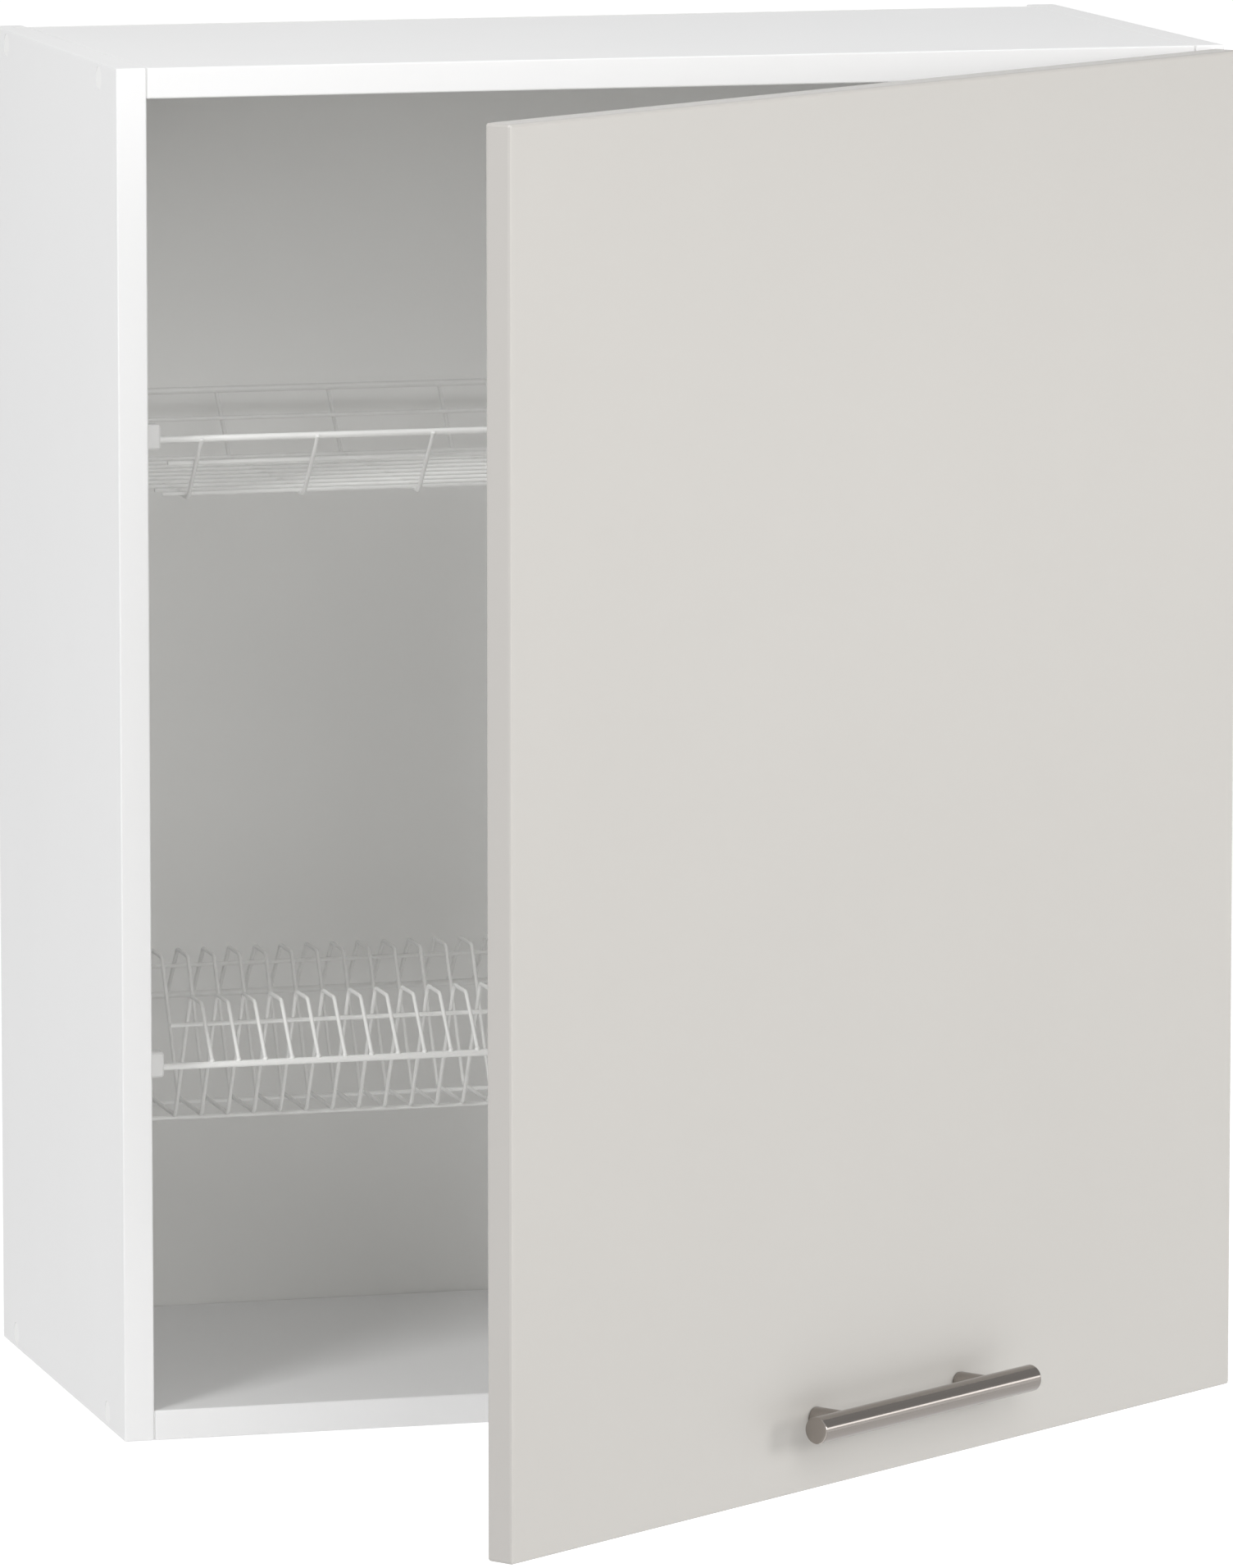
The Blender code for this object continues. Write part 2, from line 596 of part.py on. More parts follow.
def build_hinge_cup(place, height, axis, nickel):
    """A deep drawn cup with a screw flange, and two lugs inside that hold the pin."""
    back, middle = HINGE_AXIS_UNDER_FACE, cup_middle()
    outer = CUP_RADIUS - FIT_GAP
    inner = outer - CUP_WALL
    face = back + FIT_GAP
    rim = face + CUP_FLANGE
    wing_x = middle - CUP_SCREW_INSET
    bm = bmesh.new()
    outline = [(x, height + z) for x, z in flange_outline(middle)]
    add_extruded(bm, outline, face, rim, "Y")
    cup = add_object("hinge_cup_" + place, bm, nickel, axis)

    body = bmesh.new()
    start, stop = (middle, back - CUP_DEPTH, height), (middle, face + CUP_FLANGE / 2, height)
    add_rod(body, start, stop, outer, 2 * ROUND_SIDES)
    combine(cup, add_helper("cup_body_" + place, body, axis), "UNION")
    hollow = bmesh.new()
    start, stop = (middle, back - CUP_DEPTH + CUP_WALL, height), (middle, rim + CUT_OVERRUN, height)
    add_rod(hollow, start, stop, inner, 2 * ROUND_SIDES)
    combine(cup, add_helper("cup_hollow_" + place, hollow, axis), "DIFFERENCE")

    lugs = bmesh.new()
    lug_floor = back - CUP_DEPTH + CUP_WALL / 2
    lug_near = KNUCKLE_WIDTH / 2 + FIT_GAP
    lug_far = lug_near + CUP_LUG_WIDTH
    wall_inside = math.sqrt(inner ** 2 - lug_near ** 2) + middle
    wall_outside = math.sqrt(outer ** 2 - lug_far ** 2) + middle
    reach = (wall_inside + wall_outside) / 2
    for end in (-1, 1):
        z = sorted((height + end * lug_near, height + end * lug_far))
        add_box(lugs, (-CUP_LUG_REACH, lug_floor, z[0]), (reach, KNUCKLE_RADIUS, z[1]))
    combine(cup, add_helper("cup_lugs_" + place, lugs, axis), "UNION")

    cuts = bmesh.new()
    half = lug_far + FIT_GAP
    add_rod(cuts, (0, 0, height - half), (0, 0, height + half), KNUCKLE_BORE, SMALL_SIDES)
    for end in (-1, 1):
        z = height + end * CUP_SCREW_SPACING / 2
        hole = WOOD_SCREW_RADIUS + FIT_GAP
        add_rod(cuts, (wing_x, face - CUT_OVERRUN, z), (wing_x, rim + CUT_OVERRUN, z), hole, SMALL_SIDES)
    combine(cup, add_helper("cup_cuts_" + place, cuts, axis), "DIFFERENCE")

    bm = bmesh.new()
    start, stop = (0, 0, height - PIN_HALF_LENGTH), (0, 0, height + PIN_HALF_LENGTH)
    add_rod(bm, start, stop, PIN_RADIUS, SMALL_SIDES)
    smooth(add_object("hinge_pin_" + place, bm, nickel, axis))

    for name, end in (("top", 1), ("bottom", -1)):
        bm = bmesh.new()
        start = (wing_x, rim + FIT_GAP, height + end * CUP_SCREW_SPACING / 2)
        add_wood_screw(bm, start, (0, 1, 0))
        smooth(add_object(f"cup_screw_{place}_{name}", bm, nickel, axis))


def add_wood_screw(bm, seat, outward):
    """A low round head on a shank that ends in a point."""
    profile = [
        (-WOOD_SCREW_LENGTH + CUT_OVERRUN, WOOD_SCREW_RADIUS / 3),
        (-WOOD_SCREW_LENGTH * 2 / 3, WOOD_SCREW_RADIUS),
        (0, WOOD_SCREW_RADIUS),
        (0, WOOD_SCREW_HEAD_RADIUS),
        (WOOD_SCREW_HEAD / 3, WOOD_SCREW_HEAD_RADIUS),
        (WOOD_SCREW_HEAD / 2, WOOD_SCREW_HEAD_RADIUS / 2),
    ]
    add_turned(bm, profile, seat, outward, SMALL_SIDES)


def build_hinge_arm(place, height, nickel):
    """A strip that leaves the knuckle, bends up out of the cup and ends as a channel on the plate."""
    centre_y = -(KNUCKLE_RADIUS - ARM_SHEET / 2)
    web_x = -ARM_REACH
    front = FRONT - HINGE_AXIS_Y
    neck_start = -(KNUCKLE_BORE + KNUCKLE_RADIUS) / 2 + FIT_GAP
    neck_end = -(CUP_LUG_REACH + 4 * FIT_GAP)
    channel_start = front + ARM_START_BEHIND_FRONT
    corners = [(neck_start, centre_y, 0), (web_x, centre_y, 0), (web_x, channel_start, 0)]
    bend = rounded(corners, ARM_BEND_RADIUS)
    path = [
        (bend[0], KNUCKLE_WIDTH),
        (Vector((neck_end, centre_y, 0)), KNUCKLE_WIDTH),
        (Vector((2 * neck_end, centre_y, 0)), ARM_NECK_WIDTH),
        (bend[1], ARM_NECK_WIDTH),
        (bend[2], ARM_NECK_WIDTH),
        (bend[3], ARM_NECK_WIDTH),
        (Vector((web_x, channel_start + ARM_FLANGE, 0)), ARM_WIDTH),
        (Vector((web_x, front + ARM_END_BEHIND_FRONT, 0)), ARM_WIDTH),
    ]
    place_in_room = Matrix.Translation((HINGE_AXIS_X, HINGE_AXIS_Y, height))
    sheet = ARM_SHEET / 2

    def section(i):
        half = path[i][1] / 2
        return [(-half, -sheet), (half, -sheet), (half, sheet), (-half, sheet)]

    bm = bmesh.new()
    add_flat_path(bm, [point for point, _ in path], (0, 0, 1), section)
    bm.transform(place_in_room)
    arm = add_object("hinge_arm_" + place, bm, nickel)

    flanges = bmesh.new()
    for end in (-1, 1):
        z = sorted((end * (ARM_WIDTH / 2 - ARM_SHEET / 2), end * (ARM_WIDTH + ARM_SHEET) / 2))
        low = (web_x, channel_start + ARM_FLANGE + ARM_SHEET, z[0])
        high = (web_x + sheet + ARM_FLANGE, front + ARM_END_BEHIND_FRONT - ARM_SHEET, z[1])
        add_box(flanges, low, high)
    flanges.transform(place_in_room)
    combine(arm, add_helper("arm_flanges_" + place, flanges), "UNION")

    ring = bmesh.new()
    half = KNUCKLE_WIDTH / 2
    add_rod(ring, (0, 0, -half), (0, 0, half), KNUCKLE_RADIUS, SMALL_SIDES)
    ring.transform(place_in_room)
    combine(arm, add_helper("arm_knuckle_" + place, ring), "UNION")
    bore = bmesh.new()
    half += CUT_OVERRUN
    add_rod(bore, (0, 0, -half), (0, 0, half), KNUCKLE_BORE, SMALL_SIDES)
    bore.transform(place_in_room)
    combine(arm, add_helper("arm_bore_" + place, bore), "DIFFERENCE")


def build_mounting_plate(place, height, nickel):
    """A cross-shaped plate on the side panel, with a rib that the arm sits over."""
    base_high = INNER_RIGHT - FIT_GAP
    base_low = base_high - PLATE_BASE
    web_face = HINGE_AXIS_X - ARM_REACH + ARM_SHEET / 2
    rib_low = web_face + FIT_GAP
    middle = FRONT + PLATE_SCREW_FROM_FRONT
    rib_half = (ARM_WIDTH - ARM_SHEET) / 2 - FIT_GAP
    bm = bmesh.new()
    half = PLATE_WING_WIDTH / 2
    low = (base_low, middle - half, height - PLATE_WING_HALF_LENGTH)
    high = (base_high, middle + half, height + PLATE_WING_HALF_LENGTH)
    add_box(bm, low, high)
    plate = add_object("hinge_plate_" + place, bm, nickel)
    rib = bmesh.new()
    overlap = base_high - PLATE_BASE / 2
    low = (rib_low, FRONT + PLATE_RIB_START, height - rib_half)
    high = (overlap, FRONT + PLATE_RIB_END, height + rib_half)
    add_box(rib, low, high)
    combine(plate, add_helper("plate_rib_" + place, rib), "UNION")
    cuts = bmesh.new()
    for end in (-1, 1):
        z = height + end * PLATE_SCREW_SPACING / 2
        hole = WOOD_SCREW_RADIUS + FIT_GAP
        start, stop = (base_low - CUT_OVERRUN, middle, z), (base_high + CUT_OVERRUN, middle, z)
        add_rod(cuts, start, stop, hole, SMALL_SIDES)
    combine(plate, add_helper("plate_cuts_" + place, cuts), "DIFFERENCE")
    for name, end in (("top", 1), ("bottom", -1)):
        bm = bmesh.new()
        seat = (base_low - FIT_GAP, middle, height + end * PLATE_SCREW_SPACING / 2)
        add_wood_screw(bm, seat, (-1, 0, 0))
        smooth(add_object(f"plate_screw_{place}_{name}", bm, nickel))


def build_holders(side, direction, plastic_white):
    """A block with a peg in the side panel and a socket for the end of a rack's rod."""
    wall = direction * (INNER_RIGHT - FIT_GAP)
    tip = wall - direction * HOLDER_REACH
    for place, (y, z) in holder_places().items():
        half = HOLDER_LENGTH / 2
        low_z = z - HOLDER_ROD_ABOVE_UNDERSIDE
        bm = bmesh.new()
        low = (min(wall, tip), y - half, low_z)
        high = (max(wall, tip), y + half, low_z + HOLDER_HEIGHT)
        add_box(bm, low, high)
        holder = add_object(f"{place}_holder_{side}", bm, plastic_white)
        round_edges(holder, HOLDER_EDGE_RADIUS, 1)
        peg = bmesh.new()
        outward = (direction, 0, 0)
        overlap = HOLDER_EDGE_RADIUS * 2
        profile = [(-overlap, HOLDER_PEG_RADIUS), (HOLDER_PEG_LENGTH, HOLDER_PEG_RADIUS)]
        add_turned(peg, profile, (wall, y, z), outward, SMALL_SIDES)
        combine(holder, add_helper(f"{place}_peg_{side}", peg), "UNION")
        socket = bmesh.new()
        radius = RACK_ROD_DIAMETER / 2 + FIT_GAP
        profile = [(-CUT_OVERRUN, radius), (HOLDER_SOCKET_DEPTH, radius)]
        add_turned(socket, profile, (tip, y, z), outward, SMALL_SIDES)
        combine(holder, add_helper(f"{place}_socket_{side}", socket), "DIFFERENCE")


def rod_half_length():
    """A rack's rods end just short of the floors of the holders' sockets."""
    return INNER_RIGHT - FIT_GAP - HOLDER_REACH + HOLDER_SOCKET_DEPTH - FIT_GAP


def add_bar(bm, y, z, half_length, diameter, sides=ROD_SIDES):
    """A straight bar along X: with six sides it has a flat face on top, with four an edge."""
    add_rod(bm, (-half_length, y, z), (half_length, y, z), diameter / 2, sides)


def spread(length, pitch):
    """Places of a centred row, a pitch apart, that stays within a length."""
    steps = math.floor(length / pitch)
    return [(i - steps / 2) * pitch for i in range(steps + 1)]


def build_cup_rack(coated_wire):
    """A shallow basket: cross wires bent to a U carry the floor wires and hang from two rods."""
    rod_z = CUP_RACK_ROD_Z
    floor_z = rod_z - CUP_RACK_DROP
    wire, bar, rod = RACK_WIRE_DIAMETER, RACK_BAR_DIAMETER, RACK_ROD_DIAMETER
    reach = (rod + wire) / 2 - WELD_SINK
    run = CUP_RACK_TAPER + reach
    bar_inset = CUP_RACK_BAR_DROP / CUP_RACK_DROP * run - reach
    leg_length = math.hypot(run, CUP_RACK_DROP)
    bar_offset = ((bar + wire) / 2 - WELD_SINK) * leg_length / CUP_RACK_DROP
    rack = bmesh.new()
    for y in (RACK_FRONT_Y, RACK_REAR_Y):
        add_bar(rack, y, rod_z, rod_half_length(), rod)
    for y, inward in ((RACK_FRONT_Y, 1), (RACK_REAR_Y, -1)):
        bar_y = y + inward * (bar_inset + bar_offset)
        half_length = INNER_RIGHT - CUP_RACK_BAR_END_GAP
        add_bar(rack, bar_y, rod_z - CUP_RACK_BAR_DROP, half_length, bar, WIRE_SIDES)
    middle = (RACK_FRONT_Y + RACK_REAR_Y) / 2
    for y in spread(RACK_DEPTH - 2 * CUP_RACK_FLOOR_MARGIN, CUP_RACK_FLOOR_PITCH):
        half_length = INNER_RIGHT - CUP_RACK_FLOOR_END_GAP
        add_bar(rack, middle + y, floor_z + wire - WELD_SINK, half_length, wire, WIRE_SIDES)
    basket = add_object("cup_rack", rack, coated_wire)

    wires = bmesh.new()
    for x in spread(2 * (INNER_RIGHT - CUP_RACK_CROSS_MARGIN), CUP_RACK_CROSS_PITCH):
        corners = [
            (x, RACK_FRONT_Y - reach, rod_z),
            (x, RACK_FRONT_Y + CUP_RACK_TAPER, floor_z),
            (x, RACK_REAR_Y - CUP_RACK_TAPER, floor_z),
            (x, RACK_REAR_Y + reach, rod_z),
        ]
        add_bent_wire(wires, corners, wire)
    combine(basket, add_helper("cup_rack_cross_wires", wires), "UNION")


def build_plate_rack(coated_wire):
    """Two rods in the holders, four thinner bars, and the bent wires that keep plates apart."""
    rod_z = PLATE_RACK_ROD_Z
    hump_z = rod_z + PLATE_HUMP_RISE
    floor_z = rod_z - PLATE_FLOOR_DROP
    middle = (RACK_FRONT_Y + RACK_REAR_Y) / 2
    wire, bar, rod = RACK_WIRE_DIAMETER, RACK_BAR_DIAMETER, RACK_ROD_DIAMETER
    half = [
        (RACK_DEPTH / 2, rod_z + PLATE_WIRE_END_RISE),
        (RACK_DEPTH / 2 - PLATE_HUMP_START, hump_z),
        (RACK_DEPTH / 2 - PLATE_HUMP_START - PLATE_HUMP_WIDTH, hump_z),
        (PLATE_FLOOR_HALF_WIDTH, floor_z),
    ]
    touch = (bar + wire) / 2 - WELD_SINK

    def beside(upper, lower, drop):
        """The middle of a bar on the front side of the leg between two corners, drop below the hump."""
        (y0, z0), (y1, z1) = upper, lower
        share = drop / (z0 - z1)
        y = y0 + (y1 - y0) * share
        return y - touch * math.hypot(y1 - y0, z1 - z0) / (z0 - z1), z0 - drop

    rack = bmesh.new()
    for y in (RACK_FRONT_Y, RACK_REAR_Y):
        add_bar(rack, y, rod_z, rod_half_length(), rod)
    front_inner = [(middle - y, z) for y, z in half[2:]]
    rear_outer = [(middle + y, z) for y, z in (half[1], half[0])]
    y, z = beside(*front_inner, PLATE_MIDDLE_BAR_DROP)
    add_bar(rack, y, z, INNER_RIGHT - PLATE_MIDDLE_BAR_END_GAP, bar, WIRE_SIDES)
    y, z = beside(*rear_outer, PLATE_REAR_BAR_DROP)
    add_bar(rack, y, z, INNER_RIGHT - PLATE_BAR_END_GAP, bar, WIRE_SIDES)
    for side in (-1, 1):
        y = middle + side * (PLATE_FLOOR_HALF_WIDTH - PLATE_FLOOR_BAR_INSET)
        add_bar(rack, y, floor_z - touch, INNER_RIGHT - PLATE_BAR_END_GAP, bar, WIRE_SIDES)
    plate_rack = add_object("plate_rack", rack, coated_wire)

    wires = bmesh.new()
    for x in spread(2 * (INNER_RIGHT - PLATE_WIRE_MARGIN), PLATE_WIRE_PITCH):
        front = [(x, middle - y, z) for y, z in half]
        rear = [(x, middle + y, z) for y, z in half[::-1]]
        add_bent_wire(wires, front + rear, wire)
    combine(plate_rack, add_helper("plate_rack_wires", wires), "UNION")


def build_hanger(side, direction, plastic_white, steel):
    """A housing in the upper rear corner, and the hook that reaches through the back panel."""
    middle = hook_middle(direction)
    half_width = HANGER_WIDTH / 2
    rear = INSIDE_REAR
    bm = bmesh.new()
    low = (middle - half_width, rear - HANGER_LENGTH, -HANGER_BELOW_HOOK)
    high = (middle + half_width, rear, TOP - BOARD - FIT_GAP)
    add_box(bm, low, high)
    housing = add_object("hanger_housing_" + side, bm, plastic_white)
    round_edges(housing, BOARD_EDGE_RADIUS)
    pocket = bmesh.new()
    half_hook = HOOK_THICKNESS / 2
    hook_front = -HOOK_FROM_WALL - HOOK_LENGTH
    low = (middle - half_hook - FIT_GAP, hook_front - FIT_GAP, -HOOK_UNDERSIDE - FIT_GAP)
    high = (middle + half_hook + FIT_GAP, rear + CUT_OVERRUN, HOOK_RISE + FIT_GAP)
    add_box(pocket, low, high)
    combine(housing, add_helper("hanger_pocket_" + side, pocket), "DIFFERENCE")

    end_y = -HOOK_FROM_WALL
    lip_y = end_y - HOOK_LIP
    slot_y = lip_y - HOOK_SLOT
    outline = [
        (hook_front, HOOK_RISE),
        (hook_front, -HOOK_UNDERSIDE),
        (slot_y, -HOOK_UNDERSIDE),
        (slot_y, 0),
        (lip_y, 0),
        (lip_y, -HOOK_LIP_DROP),
        (end_y, -HOOK_LIP_DROP),
        (end_y, HOOK_RISE),
    ]
    bm = bmesh.new()
    add_extruded(bm, outline, middle - half_hook, middle + half_hook, "X")
    add_object("hanger_hook_" + side, bm, steel)


def main():
    for obj in list(bpy.data.objects):
        bpy.data.objects.remove(obj)
    board_white = make_material("melamine_white", (0.83, 0.82, 0.81), 0.35)
    board_back = make_material("back_board_white", (0.80, 0.79, 0.77), 0.45)
    board_door = make_material("door_warm_white", (0.75, 0.73, 0.68), 0.35)
    plastic_white = make_material("moulded_white", (0.80, 0.80, 0.78), 0.4)
    coated_wire = make_material("coated_wire_white", (0.82, 0.82, 0.80), 0.3)
    satin_steel = make_material("satin_steel", (0.55, 0.53, 0.50), 0.3, 1)
    nickel = make_material("nickel_plate", (0.62, 0.61, 0.58), 0.25, 1)
    zinc_steel = make_material("zinc_steel", (0.60, 0.60, 0.60), 0.35, 1)
    clear_rubber = make_material("clear_rubber", (0.85, 0.85, 0.84), 0.3)

    door_axis = bpy.data.objects.new("door_axis", None)
    bpy.context.scene.collection.objects.link(door_axis)
    door_axis.location = (HINGE_AXIS_X, HINGE_AXIS_Y, 0)
    door_axis.rotation_euler = (0, 0, math.radians(DOOR_OPEN_DEGREES))

    for side, direction in (("left", -1), ("right", 1)):
        build_side_panel(side, direction, board_white)
        build_panel_screws(side, direction, zinc_steel, plastic_white)
        build_holders(side, direction, plastic_white)
        build_hanger(side, direction, plastic_white, zinc_steel)
    build_flat_panel("top", TOP - BOARD, board_white)
    build_flat_panel("bottom", UNDERSIDE, board_white)
    build_back_panel(board_back)
    build_door(door_axis, board_door)
    build_handle(door_axis, satin_steel)
    build_buffers(door_axis, clear_rubber)
    for place, height in HINGE_HEIGHTS.items():
        build_hinge_cup(place, height, door_axis, nickel)
        build_hinge_arm(place, height, nickel)
        build_mounting_plate(place, height, nickel)
    build_cup_rack(coated_wire)
    build_plate_rack(coated_wire)


main()
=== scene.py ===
# %% [markdown]
# # Dressing a dish drying cabinet
#
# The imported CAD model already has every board, hinge and rod in its right place. This lesson gives it
# the look of its photograph: satin boards, racks of coated wire, a brushed handle, soft studio light
# and a long lens. Each new surface is worked out with numpy as a grid of points, and each finish is a
# small network of nodes that starts from what the real material is.

import json
import math

import bpy
import numpy as np
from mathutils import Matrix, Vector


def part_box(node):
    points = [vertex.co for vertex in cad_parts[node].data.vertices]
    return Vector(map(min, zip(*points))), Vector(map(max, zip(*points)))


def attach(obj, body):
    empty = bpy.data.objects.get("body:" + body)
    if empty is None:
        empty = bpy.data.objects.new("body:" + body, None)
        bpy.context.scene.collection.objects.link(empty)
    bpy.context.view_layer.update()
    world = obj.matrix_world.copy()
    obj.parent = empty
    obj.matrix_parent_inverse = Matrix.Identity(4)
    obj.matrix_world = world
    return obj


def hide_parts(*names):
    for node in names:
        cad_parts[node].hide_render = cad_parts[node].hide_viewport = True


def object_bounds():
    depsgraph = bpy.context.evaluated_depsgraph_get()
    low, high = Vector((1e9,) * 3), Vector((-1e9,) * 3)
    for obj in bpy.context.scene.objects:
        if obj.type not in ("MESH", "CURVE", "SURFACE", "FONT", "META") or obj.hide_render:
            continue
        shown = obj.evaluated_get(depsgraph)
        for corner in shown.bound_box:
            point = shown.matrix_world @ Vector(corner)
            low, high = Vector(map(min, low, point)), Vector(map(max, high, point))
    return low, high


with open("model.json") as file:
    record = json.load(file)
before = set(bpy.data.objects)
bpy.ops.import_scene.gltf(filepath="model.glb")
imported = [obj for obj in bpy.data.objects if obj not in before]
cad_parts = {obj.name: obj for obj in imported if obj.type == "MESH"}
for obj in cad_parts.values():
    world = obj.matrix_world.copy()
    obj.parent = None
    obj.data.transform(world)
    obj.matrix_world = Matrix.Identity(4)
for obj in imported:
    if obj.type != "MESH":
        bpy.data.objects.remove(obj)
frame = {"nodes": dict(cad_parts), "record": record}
cad_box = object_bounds()
MM = 0.001
print("CAD box in mm:", [[round(value / MM, 1) for value in corner] for corner in cad_box])

# %% [markdown]
# ## Where the door stands
#
# The door is shut at the low limit of its joint, so that limit is also the angle by which it stands
# open at rest. Everything on the door is easiest to lay out on the shut door, measured from the hinge
# axis, and is then turned about that axis in one step.

# %% The hinge axis and the turn about it
joint = frame["record"]["behaviour"]["joints"][0]
DOOR_ANGLE = math.radians(-joint["range_deg"][0])
HINGE_AXIS = np.array([joint["pos_m"][0], joint["pos_m"][1], 0.0])


def onto_door(points):
    """Turns points, given from the hinge axis on the shut door, to where the door stands at rest."""
    c, s = math.cos(DOOR_ANGLE), math.sin(DOOR_ANGLE)
    turn = np.array([[c, -s, 0], [s, c, 0], [0, 0, 1]])
    return points @ turn.T + HINGE_AXIS


print("The door stands open by", round(math.degrees(DOOR_ANGLE), 1), "degrees")

# %% [markdown]
# ## Surfaces as grids
#
# Nearly every piece here is a stack of rings: a wire, a screw, a cap, a handle bar. If each row of an
# array holds one ring, the faces between two rings are the same index pattern over and over, so numpy
# writes them all at once. A pole at each end closes the shape, which keeps it a proper solid.

# %% Rings to a closed mesh
def closed_rings(rings):
    """Vertices and faces of a closed surface.

    rings has the shape (rows, sides, 3). Each row is joined to the next one by quads, and the mean
    point of the first row and of the last row is a pole that a fan of triangles closes.
    """
    rows, sides, _ = rings.shape
    points = np.concatenate([rings.reshape(-1, 3), rings[:1].mean(axis=1), rings[-1:].mean(axis=1)])
    index = np.arange(rows * sides).reshape(rows, sides)
    beside = np.roll(index, -1, axis=1)
    quads = np.stack([index[:-1], beside[:-1], beside[1:], index[1:]], axis=-1).reshape(-1, 4)
    first = np.stack([beside[0], index[0], np.full(sides, rows * sides)], axis=-1)
    last = np.stack([index[-1], beside[-1], np.full(sides, rows * sides + 1)], axis=-1)
    return points, quads, np.concatenate([first, last])


def volume(points, quads, triangles):
    """Six times the signed volume: positive when the faces look outwards."""
    corners = np.concatenate([quads[:, [0, 1, 2]], quads[:, [0, 2, 3]], triangles])
    a, b, c = points[corners[:, 0]], points[corners[:, 1]], points[corners[:, 2]]
    return np.einsum("ij,ij->i", a - points.mean(axis=0), np.cross(b - a, c - a)).sum()


def make_piece(name, shapes, body, material, replaces=(), smooth_degrees=35):
    """Joins closed ring surfaces into one object that rides on a body of the cabinet."""
    points, faces, start = [], [], 0
    for rings in shapes:
        vertices, quads, triangles = closed_rings(rings)
        if volume(vertices, quads, triangles) < 0:
            quads, triangles = quads[:, ::-1], triangles[:, ::-1]
        points.append(vertices)
        faces += (quads + start).tolist() + (triangles + start).tolist()
        start += len(vertices)
    mesh = bpy.data.meshes.new(name)
    mesh.from_pydata(np.concatenate(points).tolist(), [], faces)
    mesh.update()
    mesh.shade_smooth()
    mesh.set_sharp_from_angle(angle=math.radians(smooth_degrees))
    mesh.materials.append(material)
    piece = bpy.data.objects.new(name, mesh)
    bpy.context.scene.collection.objects.link(piece)
    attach(piece, body)
    if replaces:
        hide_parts(*replaces)
    print(f"{name}: {len(shapes)} shapes, {len(faces)} faces")
    return piece


# %% [markdown]
# ## Colours and nodes
#
# Colours are written as the sRGB hex values that a colour picker shows, and one function turns them
# into the linear values that the renderer works with. Another adds a node, sets it up and links it,
# so a material reads as a short list of what happens to the light. The Mix node has sockets for each
# kind of data under one name, so they go by number: two colours are its inputs 6 and 7, mixed by
# input 0, and the result is its output 2.

# %% Small helpers for materials
# A noise runs from 0 to 1 but seldom leaves this range, which is stretched to a range of roughness
NOISE_LOW, NOISE_HIGH = 0.3, 0.7


def linear(hex_colour):
    """sRGB hex to linear: c / 12.92 below 0.04045, and ((c + 0.055) / 1.055) ** 2.4 above it."""
    srgb = np.array([int(hex_colour[i:i + 2], 16) for i in (1, 3, 5)]) / 255
    values = np.where(srgb <= 0.04045, srgb / 12.92, ((srgb + 0.055) / 1.055) ** 2.4)
    return (*values.tolist(), 1.0)


def add_node(tree, kind, settings=None, **inputs):
    """Adds one node. An input takes a value or a link.

    Its name is the socket's name with _ for each space, or _ and the socket's number.
    """
    node = tree.nodes.new(kind)
    for name, value in (settings or {}).items():
        setattr(node, name, value)
    for name, value in inputs.items():
        socket = node.inputs[int(name[1:]) if name[1:].isdigit() else name.replace("_", " ")]
        if isinstance(value, bpy.types.NodeSocket):
            tree.links.new(value, socket)
        else:
            socket.default_value = value
    return node


def new_material(name):
    """An empty material with a Principled shader on its output."""
    material = bpy.data.materials.new(name)
    material.use_nodes = True
    tree = material.node_tree
    return material, tree, tree.nodes["Principled BSDF"]


# %% [markdown]
# ## Melamine-faced board
#
# The carcass and the door are particle board faced with resin-soaked paper, pressed hot against a
# satin steel plate. The press leaves a fine pearl in the gloss, about a millimetre across, and the
# printed colour has a very faint cloudiness. So the colour hardly varies and the roughness varies a
# little, with a bump of a few hundredths of a millimetre. Melamine resin has an IOR near 1.5. The
# door's sides are closed with an edge band, a plastic strip that is always a shade off the face.

# %% A maker of pressed boards
CLOUD_MM, BOARD_GLOSS_SPREAD = 110, 0.05
# A face whose direction has less than this share of the board's own direction is a side of the board
SIDE_SHARE = 0.6


